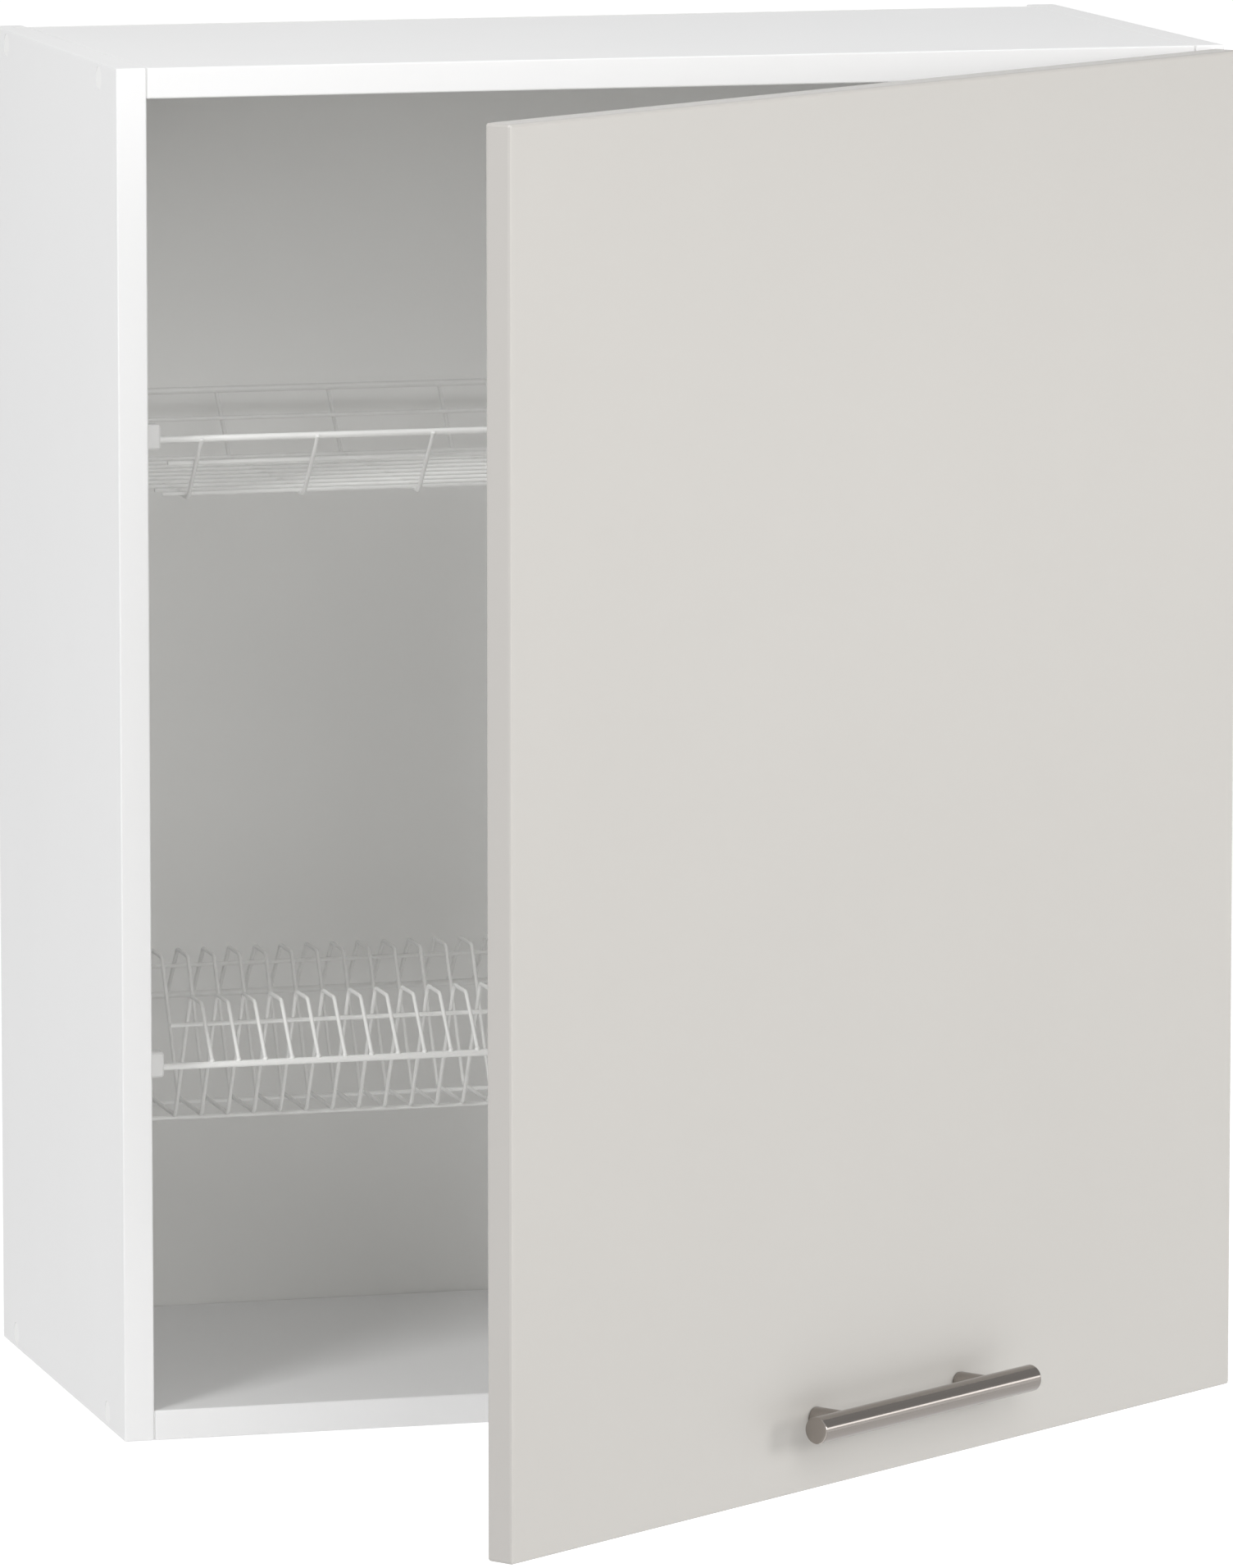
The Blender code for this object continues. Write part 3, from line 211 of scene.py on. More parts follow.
def pressed_board(name, colour, shade, roughness, pearl_mm=1.1, relief_mm=0.035, edge_band=None):
    """Melamine paper on board: colour drifts from colour to shade over about a decimetre.

    With edge_band, a pair of a face direction and a colour, the sides of the board wear that colour:
    there the surface's own direction is nearly square to the face's, so their dot product is small.
    """
    material, tree, shader = new_material(name)
    coords = add_node(tree, "ShaderNodeTexCoord")
    place = coords.outputs["Object"]
    cloud = add_node(tree, "ShaderNodeTexNoise", Vector=place, Scale=1 / (CLOUD_MM * MM), Detail=3.0)
    tint = add_node(
        tree, "ShaderNodeMix", {"data_type": "RGBA"},
        _0=cloud.outputs["Fac"], _6=linear(colour), _7=linear(shade),
    )
    pearl = add_node(tree, "ShaderNodeTexNoise", Vector=place, Scale=1 / (pearl_mm * MM), Detail=2.0)
    gloss = add_node(
        tree, "ShaderNodeMapRange", Value=pearl.outputs["Fac"],
        From_Min=NOISE_LOW, From_Max=NOISE_HIGH,
        To_Min=roughness - BOARD_GLOSS_SPREAD, To_Max=roughness + BOARD_GLOSS_SPREAD,
    )
    bump = add_node(
        tree, "ShaderNodeBump", Height=pearl.outputs["Fac"], Distance=relief_mm * MM, Strength=0.6,
    )
    if edge_band:
        direction, band = edge_band
        facing = add_node(
            tree, "ShaderNodeVectorMath", {"operation": "DOT_PRODUCT"},
            _0=coords.outputs["Normal"], _1=direction,
        )
        away = add_node(tree, "ShaderNodeMath", {"operation": "ABSOLUTE"}, _0=facing.outputs["Value"])
        side = add_node(
            tree, "ShaderNodeMath", {"operation": "LESS_THAN"}, _0=away.outputs["Value"], _1=SIDE_SHARE,
        )
        tint = add_node(
            tree, "ShaderNodeMix", {"data_type": "RGBA"},
            _0=side.outputs["Value"], _6=tint.outputs[2], _7=linear(band),
        )
    tree.links.new(tint.outputs[2], shader.inputs["Base Color"])
    tree.links.new(gloss.outputs["Result"], shader.inputs["Roughness"])
    tree.links.new(bump.outputs["Normal"], shader.inputs["Normal"])
    shader.inputs["IOR"].default_value = 1.5
    return material


carcass_board = pressed_board("melamine_board_white", "#f4f4f4", "#f1f1f1", 0.42)
DOOR_FACING = (math.sin(DOOR_ANGLE), -math.cos(DOOR_ANGLE), 0.0)
door_board = pressed_board(
    "melamine_board_warm_grey", "#c8c5c0", "#c6c3be", 0.38, edge_band=(DOOR_FACING, "#bfbcb8"),
)
print("Boards:", carcass_board.name, door_board.name)

# %% [markdown]
# ## Lacquered hardboard
#
# The back is a 3 mm hardboard with a thin roller coat of lacquer. It is duller than melamine, and the
# roller leaves a finer stipple.

# %% The back panel's finish
back_board = pressed_board(
    "lacquered_hardboard_white", "#fafaf8", "#f8f8f6", 0.6, pearl_mm=0.8, relief_mm=0.05,
)
print("Back:", back_board.name)

# %% [markdown]
# ## Moulded plastic and coated wire
#
# The rack holders, the caps and the hanger housings are moulded in white ABS with a fine spark-eroded
# texture. The racks are steel wire, welded and then dipped in hot polyethylene powder, which flows to
# a glossy skin with a slight orange peel. Both are dielectrics with an IOR near 1.5.

# %% A maker of white plastics
PATCH_MM, PATCH_SHADE, COAT_ROUGHNESS = 25, 0.965, 0.12


def white_plastic(name, colour, roughness, grain_mm, relief_mm, uneven=0.2, coat=0.0):
    """White skin: grain_mm sets the texture's size, and uneven the share by which the gloss varies."""
    material, tree, shader = new_material(name)
    place = add_node(tree, "ShaderNodeTexCoord").outputs["Object"]
    grain = add_node(tree, "ShaderNodeTexNoise", Vector=place, Scale=1 / (grain_mm * MM), Detail=3.0)
    bright = linear(colour)
    dull = (*[channel * PATCH_SHADE for channel in bright[:3]], 1.0)
    patch = add_node(tree, "ShaderNodeTexNoise", Vector=place, Scale=1 / (PATCH_MM * MM), Detail=2.0)
    tint = add_node(
        tree, "ShaderNodeMix", {"data_type": "RGBA"}, _0=patch.outputs["Fac"], _6=bright, _7=dull,
    )
    gloss = add_node(
        tree, "ShaderNodeMapRange", Value=grain.outputs["Fac"],
        From_Min=NOISE_LOW, From_Max=NOISE_HIGH,
        To_Min=roughness * (1 - uneven), To_Max=roughness * (1 + uneven),
    )
    bump = add_node(
        tree, "ShaderNodeBump", Height=grain.outputs["Fac"], Distance=relief_mm * MM, Strength=0.7,
    )
    tree.links.new(tint.outputs[2], shader.inputs["Base Color"])
    tree.links.new(gloss.outputs["Result"], shader.inputs["Roughness"])
    tree.links.new(bump.outputs["Normal"], shader.inputs["Normal"])
    shader.inputs["Coat Weight"].default_value = coat
    shader.inputs["Coat Roughness"].default_value = COAT_ROUGHNESS
    return material


moulded_abs = white_plastic("moulded_abs_white", "#fafaf9", 0.42, 0.5, 0.03)
coated_wire = white_plastic(
    "polyethylene_coated_wire", "#fafaf8", 0.34, 3.0, 0.006, uneven=0.08, coat=0.3,
)
print("Plastics:", moulded_abs.name, coated_wire.name)

# %% [markdown]
# ## Metals
#
# The handle is a steel bar, brushed along its length and plated in satin nickel. A brushed surface
# scatters light across the brush lines, which the shader calls anisotropy, and the lines themselves
# are a noise that is squeezed thin across the bar and drawn out along it. The hinges and their screws
# are bright nickel plate. The other screws and the hooks are zinc plate, which is duller and slightly
# mottled.

# %% Brushed and plated metals
BRUSH_SPREAD, BRUSH_RELIEF_MM = 0.15, 0.01


def brushed_metal(name, colour, shade, roughness, turn_degrees, line_mm=0.35, draw=60.0):
    """Brush lines line_mm apart run along X after a turn about Z, each about draw times as long."""
    material, tree, shader = new_material(name)
    place = add_node(tree, "ShaderNodeTexCoord").outputs["Object"]
    fine = 1 / (line_mm * MM)
    lines = add_node(
        tree, "ShaderNodeMapping", {"vector_type": "TEXTURE"},
        Vector=place, Rotation=(0, 0, math.radians(turn_degrees)), Scale=(draw, 1, 1),
    )
    brush = add_node(tree, "ShaderNodeTexNoise", Vector=lines.outputs["Vector"], Scale=fine, Detail=2.0)
    tint = add_node(
        tree, "ShaderNodeMix", {"data_type": "RGBA"},
        _0=brush.outputs["Fac"], _6=linear(colour), _7=linear(shade),
    )
    gloss = add_node(
        tree, "ShaderNodeMapRange", Value=brush.outputs["Fac"],
        From_Min=NOISE_LOW, From_Max=NOISE_HIGH,
        To_Min=roughness * (1 - BRUSH_SPREAD), To_Max=roughness * (1 + BRUSH_SPREAD),
    )
    bump = add_node(
        tree, "ShaderNodeBump", Height=brush.outputs["Fac"], Distance=BRUSH_RELIEF_MM * MM, Strength=0.5,
    )
    tree.links.new(tint.outputs[2], shader.inputs["Base Color"])
    tree.links.new(gloss.outputs["Result"], shader.inputs["Roughness"])
    tree.links.new(bump.outputs["Normal"], shader.inputs["Normal"])
    shader.inputs["Metallic"].default_value = 1.0
    return material


handle_metal = brushed_metal("satin_nickel_brushed", "#a29c97", "#98928d", 0.14, math.degrees(DOOR_ANGLE))
nickel = brushed_metal("nickel_plate_bright", "#c9c6bf", "#bdbab4", 0.2, 0, line_mm=1.5, draw=3.0)
zinc = brushed_metal("zinc_plate_dull", "#bfc1c2", "#aeb0b2", 0.36, 0, line_mm=1.2, draw=1.5)
print("Metals:", handle_metal.name, nickel.name, zinc.name)

# %% [markdown]
# ## Clear buffers
#
# The door's buffers are cast from soft polyurethane. It is clear with a milky cast, so it lets most
# light through, and scatters the rest.

# %% Soft clear polyurethane
buffer_clear, tree, shader = new_material("polyurethane_clear_soft")
place = add_node(tree, "ShaderNodeTexCoord").outputs["Object"]
haze = add_node(tree, "ShaderNodeTexNoise", Vector=place, Scale=1 / (2 * MM))
milk = add_node(
    tree, "ShaderNodeMix", {"data_type": "RGBA"},
    _0=haze.outputs["Fac"], _6=linear("#eef0f0"), _7=linear("#e2e6e6"),
)
tree.links.new(milk.outputs[2], shader.inputs["Base Color"])
shader.inputs["Roughness"].default_value = 0.25
shader.inputs["Transmission Weight"].default_value = 0.6
shader.inputs["IOR"].default_value = 1.49
print("Buffers:", buffer_clear.name)

# %% [markdown]
# ## Finishes for the CAD nodes
#
# Boards, blocks and stampings keep their CAD shape. Each one's only material slot is handed over to
# the finish that its name calls for.

# %% Give each node its finish
FINISH_OF = {
    "side_panel": carcass_board, "top_panel": carcass_board, "bottom_panel": carcass_board,
    "back_panel": back_board, "door_panel": door_board, "handle": handle_metal,
    "hinge": nickel, "cup_screw": nickel, "plate_screw": nickel, "panel_screw": zinc,
    "hanger_hook": zinc, "hanger_housing": moulded_abs, "cover_cap": moulded_abs,
    "cup": moulded_abs, "plate": moulded_abs, "door_buffer": buffer_clear,
}
for node_name, node in frame["nodes"].items():
    # Two keys can fit, as cup and cup_screw do, and the longer one is meant
    key = max((key for key in FINISH_OF if node_name.startswith(key)), key=len)
    node.data.materials.clear()
    node.data.materials.append(FINISH_OF[key])
print("Nodes with a finish:", len(frame["nodes"]))

# %% [markdown]
# ## Wires
#
# A wire is a small circle carried along a path. The racks are bent on a wire bender, so each corner
# is an arc of one radius. The path is the corners with every inner corner swapped for such an arc,
# and the tube is found for all points of the path at once: the wire lies in a plane, so one direction
# across it never changes, and the other is the cross product of that direction and the path's own.

# %% Bent paths and tubes
def bent_path(corners, radius, step_degrees=10):
    """Corner points joined by straight runs and arcs.

    An arc begins and ends radius / tan(half the corner's angle) from the corner, and its centre lies
    on the corner's bisector, radius / sin(half the angle) away.
    """
    corners = np.asarray(corners, float)
    points = [corners[:1]]
    for before, corner, after in zip(corners, corners[1:], corners[2:]):
        u = (before - corner) / np.linalg.norm(before - corner)
        v = (after - corner) / np.linalg.norm(after - corner)
        half = math.acos(np.clip(u @ v, -1, 1)) / 2
        bisector = (u + v) / np.linalg.norm(u + v)
        centre = corner + bisector * radius / math.sin(half)
        start = (corner + u * radius / math.tan(half) - centre) / radius
        sweep = math.pi - 2 * half
        t = np.linspace(0, sweep, max(2, math.ceil(math.degrees(sweep) / step_degrees) + 1))[:, None]
        across = -bisector - start * (-bisector @ start)
        across /= np.linalg.norm(across)
        points.append(centre + radius * (np.cos(t) * start + np.sin(t) * across))
    points.append(corners[-1:])
    return np.concatenate(points)


def tube(path, radius, side, sides=14):
    """Rings of a round wire along a path that lies in the plane square to side, with domed ends."""
    path = np.asarray(path, float)
    along = np.diff(path, axis=0)
    along /= np.linalg.norm(along, axis=1)[:, None]
    before, after = np.concatenate([along[:1], along]), np.concatenate([along, along[-1:]])
    tangent = before + after
    tangent /= np.linalg.norm(tangent, axis=1)[:, None]
    stretch = 1 / np.einsum("ij,ij->i", tangent, after)
    side = np.asarray(side, float)
    across = np.cross(tangent, side) * stretch[:, None]
    t = np.arange(sides) * math.tau / sides
    rings = (
        path[:, None] + radius * np.cos(t)[None, :, None] * side
        + radius * np.sin(t)[None, :, None] * across[:, None]
    )
    # Each end closes with a dome that is a quarter of the wire's radius high
    dome = np.radians([30, 60, 85])
    ends = []
    for end, sign in ((0, -1), (-1, 1)):
        reach = 0.25 * radius * np.sin(dome)[:, None, None] * tangent[end] * sign
        ends.append(path[end] + reach + (rings[end] - path[end]) * np.cos(dome)[:, None, None])
    return np.concatenate([ends[0][::-1], rings, ends[1]])


def bar_along_x(y, z, half_length, radius, sides=16):
    """A straight rod along X, centred on the cabinet's middle."""
    return tube([(-half_length, y, z), (half_length, y, z)], radius, (0, 0, 1), sides)


print("A right-angle bend takes", len(bent_path([(0, 0, 0), (0, 1, 0), (0, 1, 1)], 0.1)), "points")

# %% [markdown]
# ## Welds
#
# Where two wires cross, resistance welding presses one a little into the other, and the coating
# bridges the corner with a smooth fillet. A squat ball at the crossing gives that swelling.

# %% Welds with pooled coating
POLE_GAP = 0.12


def weld(centre, radius, rows=7, sides=10):
    """A ball around a crossing. Its rings leave a small gap in radians at the poles, left and right."""
    polar = np.linspace(POLE_GAP, math.pi - POLE_GAP, rows)[:, None]
    turn = np.arange(sides)[None, :] * math.tau / sides
    ball = np.stack([
        np.cos(polar) * np.ones_like(turn), np.sin(polar) * np.cos(turn), np.sin(polar) * np.sin(turn),
    ], axis=-1)
    return np.asarray(centre) + radius * ball


# %% [markdown]
# ## The plate rack
#
# Thirty-five bent wires keep the plates apart. Each rises from the front rod to a hump, dips to the
# floor, rises to a rear hump and comes down to the rear rod. Six rods run across them: two thick ones
# in the holders, one in front of the legs that dip to the floor, one in front of the last legs, and two
# under the floor. All wires share one path, so the rack is that path moved along X.

# %% Sizes shared by both racks
ROD_FRONT_Y, ROD_REAR_Y = -269.5 * MM, -41.5 * MM
ROD_RADIUS, BAR_RADIUS, WIRE_RADIUS = 1.8 * MM, 1.2 * MM, 1.1 * MM
ROD_HALF_LENGTH = 278.5 * MM
BEND_RADIUS = 4.5 * MM
WELD_SINK, WELD_RADIUS = 0.5 * MM, 1.5 * MM
TOUCH = BAR_RADIUS + WIRE_RADIUS - WELD_SINK


def bar_beside(upper, lower, drop):
    """The middle of a bar on the front side of a sloping leg, drop below the leg's upper corner."""
    (y0, z0), (y1, z1) = upper, lower
    y = y0 + (y1 - y0) * drop / (z0 - z1)
    return y - TOUCH * math.hypot(y1 - y0, z1 - z0) / (z0 - z1), z0 - drop


# %% Build the plate rack
PLATE_WIRES, PLATE_PITCH = 35, 14.4 * MM
PLATE_BAR_HALF, LEG_BAR_HALF = 265 * MM, 254.2 * MM
LEG_BAR_DROP, HUMP_BAR_DROP = 16.5 * MM, 10 * MM
FLOOR_BAR_FROM_MIDDLE = 23 * MM
middle_y = (ROD_FRONT_Y + ROD_REAR_Y) / 2
rod_z = -493.0 * MM
hump_z, floor_z = rod_z + 28.8 * MM, rod_z - 41.7 * MM
# Half of the wire's path, as distances from the rack's middle and heights
half_profile = [(114 * MM, rod_z + 2 * MM), (90 * MM, hump_z), (64.8 * MM, hump_z), (27 * MM, floor_z)]
plate_corners = [(0, middle_y - y, z) for y, z in half_profile]
plate_corners += [(0, middle_y + y, z) for y, z in half_profile[::-1]]
plate_path = bent_path(plate_corners, BEND_RADIUS, 15)
plate_wire_x = (np.arange(PLATE_WIRES) - PLATE_WIRES // 2) * PLATE_PITCH
leg_bar = bar_beside(plate_corners[2][1:], plate_corners[3][1:], LEG_BAR_DROP)
hump_bar = bar_beside(plate_corners[6][1:], plate_corners[7][1:], HUMP_BAR_DROP)
plate_bars = [
    (ROD_FRONT_Y, rod_z, ROD_HALF_LENGTH, ROD_RADIUS),
    (ROD_REAR_Y, rod_z, ROD_HALF_LENGTH, ROD_RADIUS),
    (*leg_bar, LEG_BAR_HALF, BAR_RADIUS),
    (*hump_bar, PLATE_BAR_HALF, BAR_RADIUS),
    (middle_y - FLOOR_BAR_FROM_MIDDLE, floor_z - TOUCH, PLATE_BAR_HALF, BAR_RADIUS),
    (middle_y + FLOOR_BAR_FROM_MIDDLE, floor_z - TOUCH, PLATE_BAR_HALF, BAR_RADIUS),
]
shapes = [bar_along_x(*bar) for bar in plate_bars]
shapes += [tube(plate_path + (x, 0, 0), WIRE_RADIUS, (1, 0, 0), 12) for x in plate_wire_x]
ends = [plate_corners[0], plate_corners[-1]]
shapes += [weld((x, y, z), WELD_RADIUS) for x in plate_wire_x for _, y, z in ends]
plate_rack = make_piece("plate_rack_wires", shapes, "cabinet", coated_wire, ["plate_rack"])

# %% [markdown]
# ## The cup rack
#
# The upper rack is a shallow basket. Nine cross wires hang like wide letters U from two rods, ten
# floor wires lie on them lengthwise, and one more bar runs inside each slope.

# %% Build the cup rack
CROSS_WIRES, CROSS_PITCH = 9, 62.3 * MM
FLOOR_WIRES, FLOOR_MARGIN, FLOOR_WIRE_HALF = 10, 35.5 * MM, 261.7 * MM
CUP_DROP, CUP_TAPER = 34.4 * MM, 30 * MM
SLOPE_BAR_DROP, SLOPE_BAR_HALF = 14 * MM, 263.7 * MM
cup_rod_z = -162.3 * MM
cup_floor_z = cup_rod_z - CUP_DROP
reach = ROD_RADIUS + WIRE_RADIUS - WELD_SINK
run = CUP_TAPER + reach
bar_inset = SLOPE_BAR_DROP / CUP_DROP * run - reach
bar_offset = TOUCH * math.hypot(run, CUP_DROP) / CUP_DROP
cup_corners = [
    (0, ROD_FRONT_Y - reach, cup_rod_z), (0, ROD_FRONT_Y + CUP_TAPER, cup_floor_z),
    (0, ROD_REAR_Y - CUP_TAPER, cup_floor_z), (0, ROD_REAR_Y + reach, cup_rod_z),
]
cup_path = bent_path(cup_corners, BEND_RADIUS, 12)
cup_wire_x = (np.arange(CROSS_WIRES) - CROSS_WIRES // 2) * CROSS_PITCH
floor_wire_y = np.linspace(ROD_FRONT_Y + FLOOR_MARGIN, ROD_REAR_Y - FLOOR_MARGIN, FLOOR_WIRES)
cup_bars = [(y, cup_rod_z, ROD_HALF_LENGTH, ROD_RADIUS) for y in (ROD_FRONT_Y, ROD_REAR_Y)]
cup_bars += [
    (ROD_FRONT_Y + bar_inset + bar_offset, cup_rod_z - SLOPE_BAR_DROP, SLOPE_BAR_HALF, BAR_RADIUS),
    (ROD_REAR_Y - bar_inset - bar_offset, cup_rod_z - SLOPE_BAR_DROP, SLOPE_BAR_HALF, BAR_RADIUS),
]
floor_bar_z = cup_floor_z + 2 * WIRE_RADIUS - WELD_SINK
cup_bars += [(y, floor_bar_z, FLOOR_WIRE_HALF, WIRE_RADIUS) for y in floor_wire_y]
shapes = [bar_along_x(*bar) for bar in cup_bars]
shapes += [tube(cup_path + (x, 0, 0), WIRE_RADIUS, (1, 0, 0), 12) for x in cup_wire_x]
cup_rack = make_piece("cup_rack_wires", shapes, "cabinet", coated_wire, ["cup_rack"])

# %% [markdown]
# ## Turned pieces
#
# Caps, screws and the handle's bar are lathe work: a profile of distances along an axis and radii is
# turned about that axis. A third number in the profile can pull a ring towards a four-lobed star,
# which is how the cross recess of a screw is cut.

# %% A lathe
LOBE_DEPTH = 0.62


def lathe(profile, base, axis, sides=40, on_door=False):
    """Rings with radius r * (1 - LOBE_DEPTH * s * sin(2 t) ** 2) at each (along, r, s) of the profile."""
    along, radius, star = np.array([(*row, 0)[:3] for row in profile], float).T
    axis = np.asarray(axis, float)
    helper = np.array([0, 0, 1.0]) if abs(axis[2]) < 0.9 else np.array([1.0, 0, 0])
    u = np.cross(helper, axis)
    v = np.cross(axis, u)
    t = np.arange(sides) * math.tau / sides
    lobes = radius[:, None] * (1 - LOBE_DEPTH * star[:, None] * np.sin(2 * t)[None, :] ** 2)
    rings = (
        np.asarray(base) + along[:, None, None] * axis
        + (lobes * np.cos(t))[..., None] * u + (lobes * np.sin(t))[..., None] * v
    )
    return onto_door(rings) if on_door else rings


# %% [markdown]
# ## Cover caps
#
# The screws that pull the carcass together sit under press-in caps, which lie flush in shallow seats,
# so that cabinets can stand side by side. A cap is a slightly domed disc with a softly rounded
# rim, a hair under the board's face, and its stem fills the socket in the screw's head.

# %% Build the cover caps
SIDE_FACE_X = 300 * MM
# Depths from the board's face and radii, all in mm
CAP_STEM = [(-4.4, 1.5), (-4.2, 1.7), (-1.4, 1.7), (-1.4, 6.0)]
CAP_RIM = [
    (-0.3 + 0.15 * math.sin(a), 6.15 - 0.2 * (1 - math.cos(a))) for a in np.radians((0, 30, 60, 90))
]
CAP_FACE = [(-0.05 - 0.1 * (r / 5.95) ** 4, r) for r in (5.4, 4.6, 3.0, 1.5, 0.4)]
cap_profile = [(x * MM, r * MM) for x, r in CAP_STEM + CAP_RIM + CAP_FACE]
caps = {}
for side_name, direction in (("left", -1), ("right", 1)):
    for place_name in ("top_front", "top_rear", "bottom_front", "bottom_rear"):
        node_name = f"cover_cap_{side_name}_{place_name}"
        low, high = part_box(node_name)
        base = (direction * SIDE_FACE_X, (low[1] + high[1]) / 2, (low[2] + high[2]) / 2)
        caps[node_name] = lathe(cap_profile, base, (direction, 0, 0), 48)
cover_caps = make_piece("cover_caps_flush", list(caps.values()), "cabinet", moulded_abs, list(caps), 50)

# %% [markdown]
# ## Glue in the board joints
#
# The top and bottom boards are glued and screwed between the side panels. The CAD model leaves a
# fitting gap of 0.3 mm there, and the glue fills it to just under the surface, so a joint shows as
# a faint pale line and not as a black one.

# %% Build the glue lines
GLUE_DEPTH, GLUE_CLEAR = 0.15 * MM, 0.01 * MM
glue = []
for board in ("top_panel", "bottom_panel"):
    low, high = (np.asarray(corner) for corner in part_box(board))
    (y0, z0), (y1, z1) = low[1:] + GLUE_DEPTH, high[1:] - GLUE_DEPTH
    inner_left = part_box("side_panel_left")[1][0]
    inner_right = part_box("side_panel_right")[0][0]
    for x0, x1 in (
        (low[0] - GLUE_CLEAR, inner_left + GLUE_CLEAR), (high[0] + GLUE_CLEAR, inner_right - GLUE_CLEAR),
    ):
        glue.append(np.array([[(x, y0, z0), (x, y1, z0), (x, y1, z1), (x, y0, z1)] for x in (x0, x1)]))
glue_lines = make_piece("panel_joint_glue", glue, "cabinet", moulded_abs)

# %% [markdown]
# ## The handle
#
# A brushed bar stands on two round posts. The bar's ends are cut flat with a hair of a chamfer. Each
# post is milled to the bar's curve, so its far end isn't flat: at an angle t round the post, the
# saddle is reached where a point of the post meets the bar's cylinder.

# %% Build the handle
# On the shut door: x and y are measured from the hinge axis
FACE_Y = -10.7 * MM
BAR_STANDOFF, BAR_HALF = 21 * MM, 90 * MM
HANDLE_RADIUS, POST_RADIUS, CHAMFER = 7 * MM, 6 * MM, 0.5 * MM
POST_CLEAR = 0.3 * MM
handle_x, handle_z = -286.9 * MM, -647 * MM
bar_y = FACE_Y - BAR_STANDOFF
# From the bar's end inwards: the chamfer, then two rings that keep the long wall straight
bar_end = [
    (0, HANDLE_RADIUS - CHAMFER), (0.3 * CHAMFER, HANDLE_RADIUS - 0.3 * CHAMFER),
    (CHAMFER, HANDLE_RADIUS), (2 * CHAMFER, HANDLE_RADIUS), (3 * CHAMFER, HANDLE_RADIUS),
]
bar_profile = [(x - BAR_HALF, r) for x, r in bar_end] + [(BAR_HALF - x, r) for x, r in bar_end[::-1]]
bar = lathe(bar_profile, (handle_x, bar_y, handle_z), (1, 0, 0), 96, on_door=True)
handle_bar = make_piece("handle_bar_brushed", [bar], "door", handle_metal, ["handle_bar"])


def coped_post(x):
    """A post from just off the door's face to just short of the bar's surface.

    At an angle t the point is r * sin(t) above the bar's axis, r being the post's radius, so the
    surface of a bar of radius R lies sqrt(R ** 2 - (r * sin(t)) ** 2) behind the bar's axis.
    """
    t = np.arange(64) * math.tau / 64
    saddle = bar_y + np.sqrt((HANDLE_RADIUS + POST_CLEAR) ** 2 - (POST_RADIUS * np.sin(t)) ** 2)
    start = np.full_like(t, FACE_Y - POST_CLEAR)
    # Three rings soften the edge of the foot, then come the middle and the saddle
    share = np.array([0, 0, 0.02, 0.5, 1.0])[:, None]
    radius = POST_RADIUS * np.array([0.94, 0.98, 1, 1, 1])[:, None]
    y = start + (saddle - start) * share
    return onto_door(np.stack([x + radius * np.cos(t), y, handle_z + radius * np.sin(t)], -1))


POST_SPACING, POST_OFFSET = 120 * MM, -4.2 * MM
post_x = {
    "left": handle_x + POST_OFFSET - POST_SPACING / 2,
    "right": handle_x + POST_OFFSET + POST_SPACING / 2,
}
posts = [coped_post(x) for x in post_x.values()]
handle_posts = make_piece(
    "handle_posts_coped", posts, "door", handle_metal, ["handle_post_left", "handle_post_right"],
)

# %% [markdown]
# ## Screws with a cross recess
#
# All visible screws are pan heads with a cross recess. The head's profile runs over the dome, then
# down into the recess, where the rings turn into four-lobed stars that shrink towards a point.

# %% Build the screws
# Radius and height of the head, then radius and length of the shank
HINGE_SCREW = (3.4 * MM, 0.9 * MM, 1.7 * MM, 11 * MM)
HANDLE_SCREW = (4.2 * MM, 1.7 * MM, 1.9 * MM, 24 * MM)
BACK_FACE_Y = 5.3 * MM
CUP_FLANGE_TOP = BACK_FACE_Y + 1.6 * MM
# The cup screws' x on the shut door, and the face in the cabinet on which the plate screws sit
CUP_SCREW_X, PLATE_TOP_X = -23.9 * MM, 281.4 * MM


def cross_screw(seat, outward, head_radius, head_height, shank_radius, length, on_door=False):
    """A pan head on its seat, looking outward. The dome is a quarter of an ellipse on a short wall."""
    r, h = head_radius, head_height
    shank = [(-length, shank_radius * 0.3), (-length * 0.8, shank_radius), (0, shank_radius)]
    edge = [(0, r * 0.99)]
    dome = [(h * math.sin(a), r * (0.78 + 0.22 * math.cos(a))) for a in np.radians((0, 25, 50, 75))]
    recess = [
        (h, r * 0.62, 0.0), (h, r * 0.6, 1.0), (h * 0.55, r * 0.5, 1.0), (h * 0.1, r * 0.16, 0.6),
    ]
    return lathe(shank + edge + dome + recess, seat, outward, 48, on_door)


def node_middle(name):
    """The middle of a node's box."""
    low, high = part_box(name)
    return (np.asarray(low) + np.asarray(high)) / 2


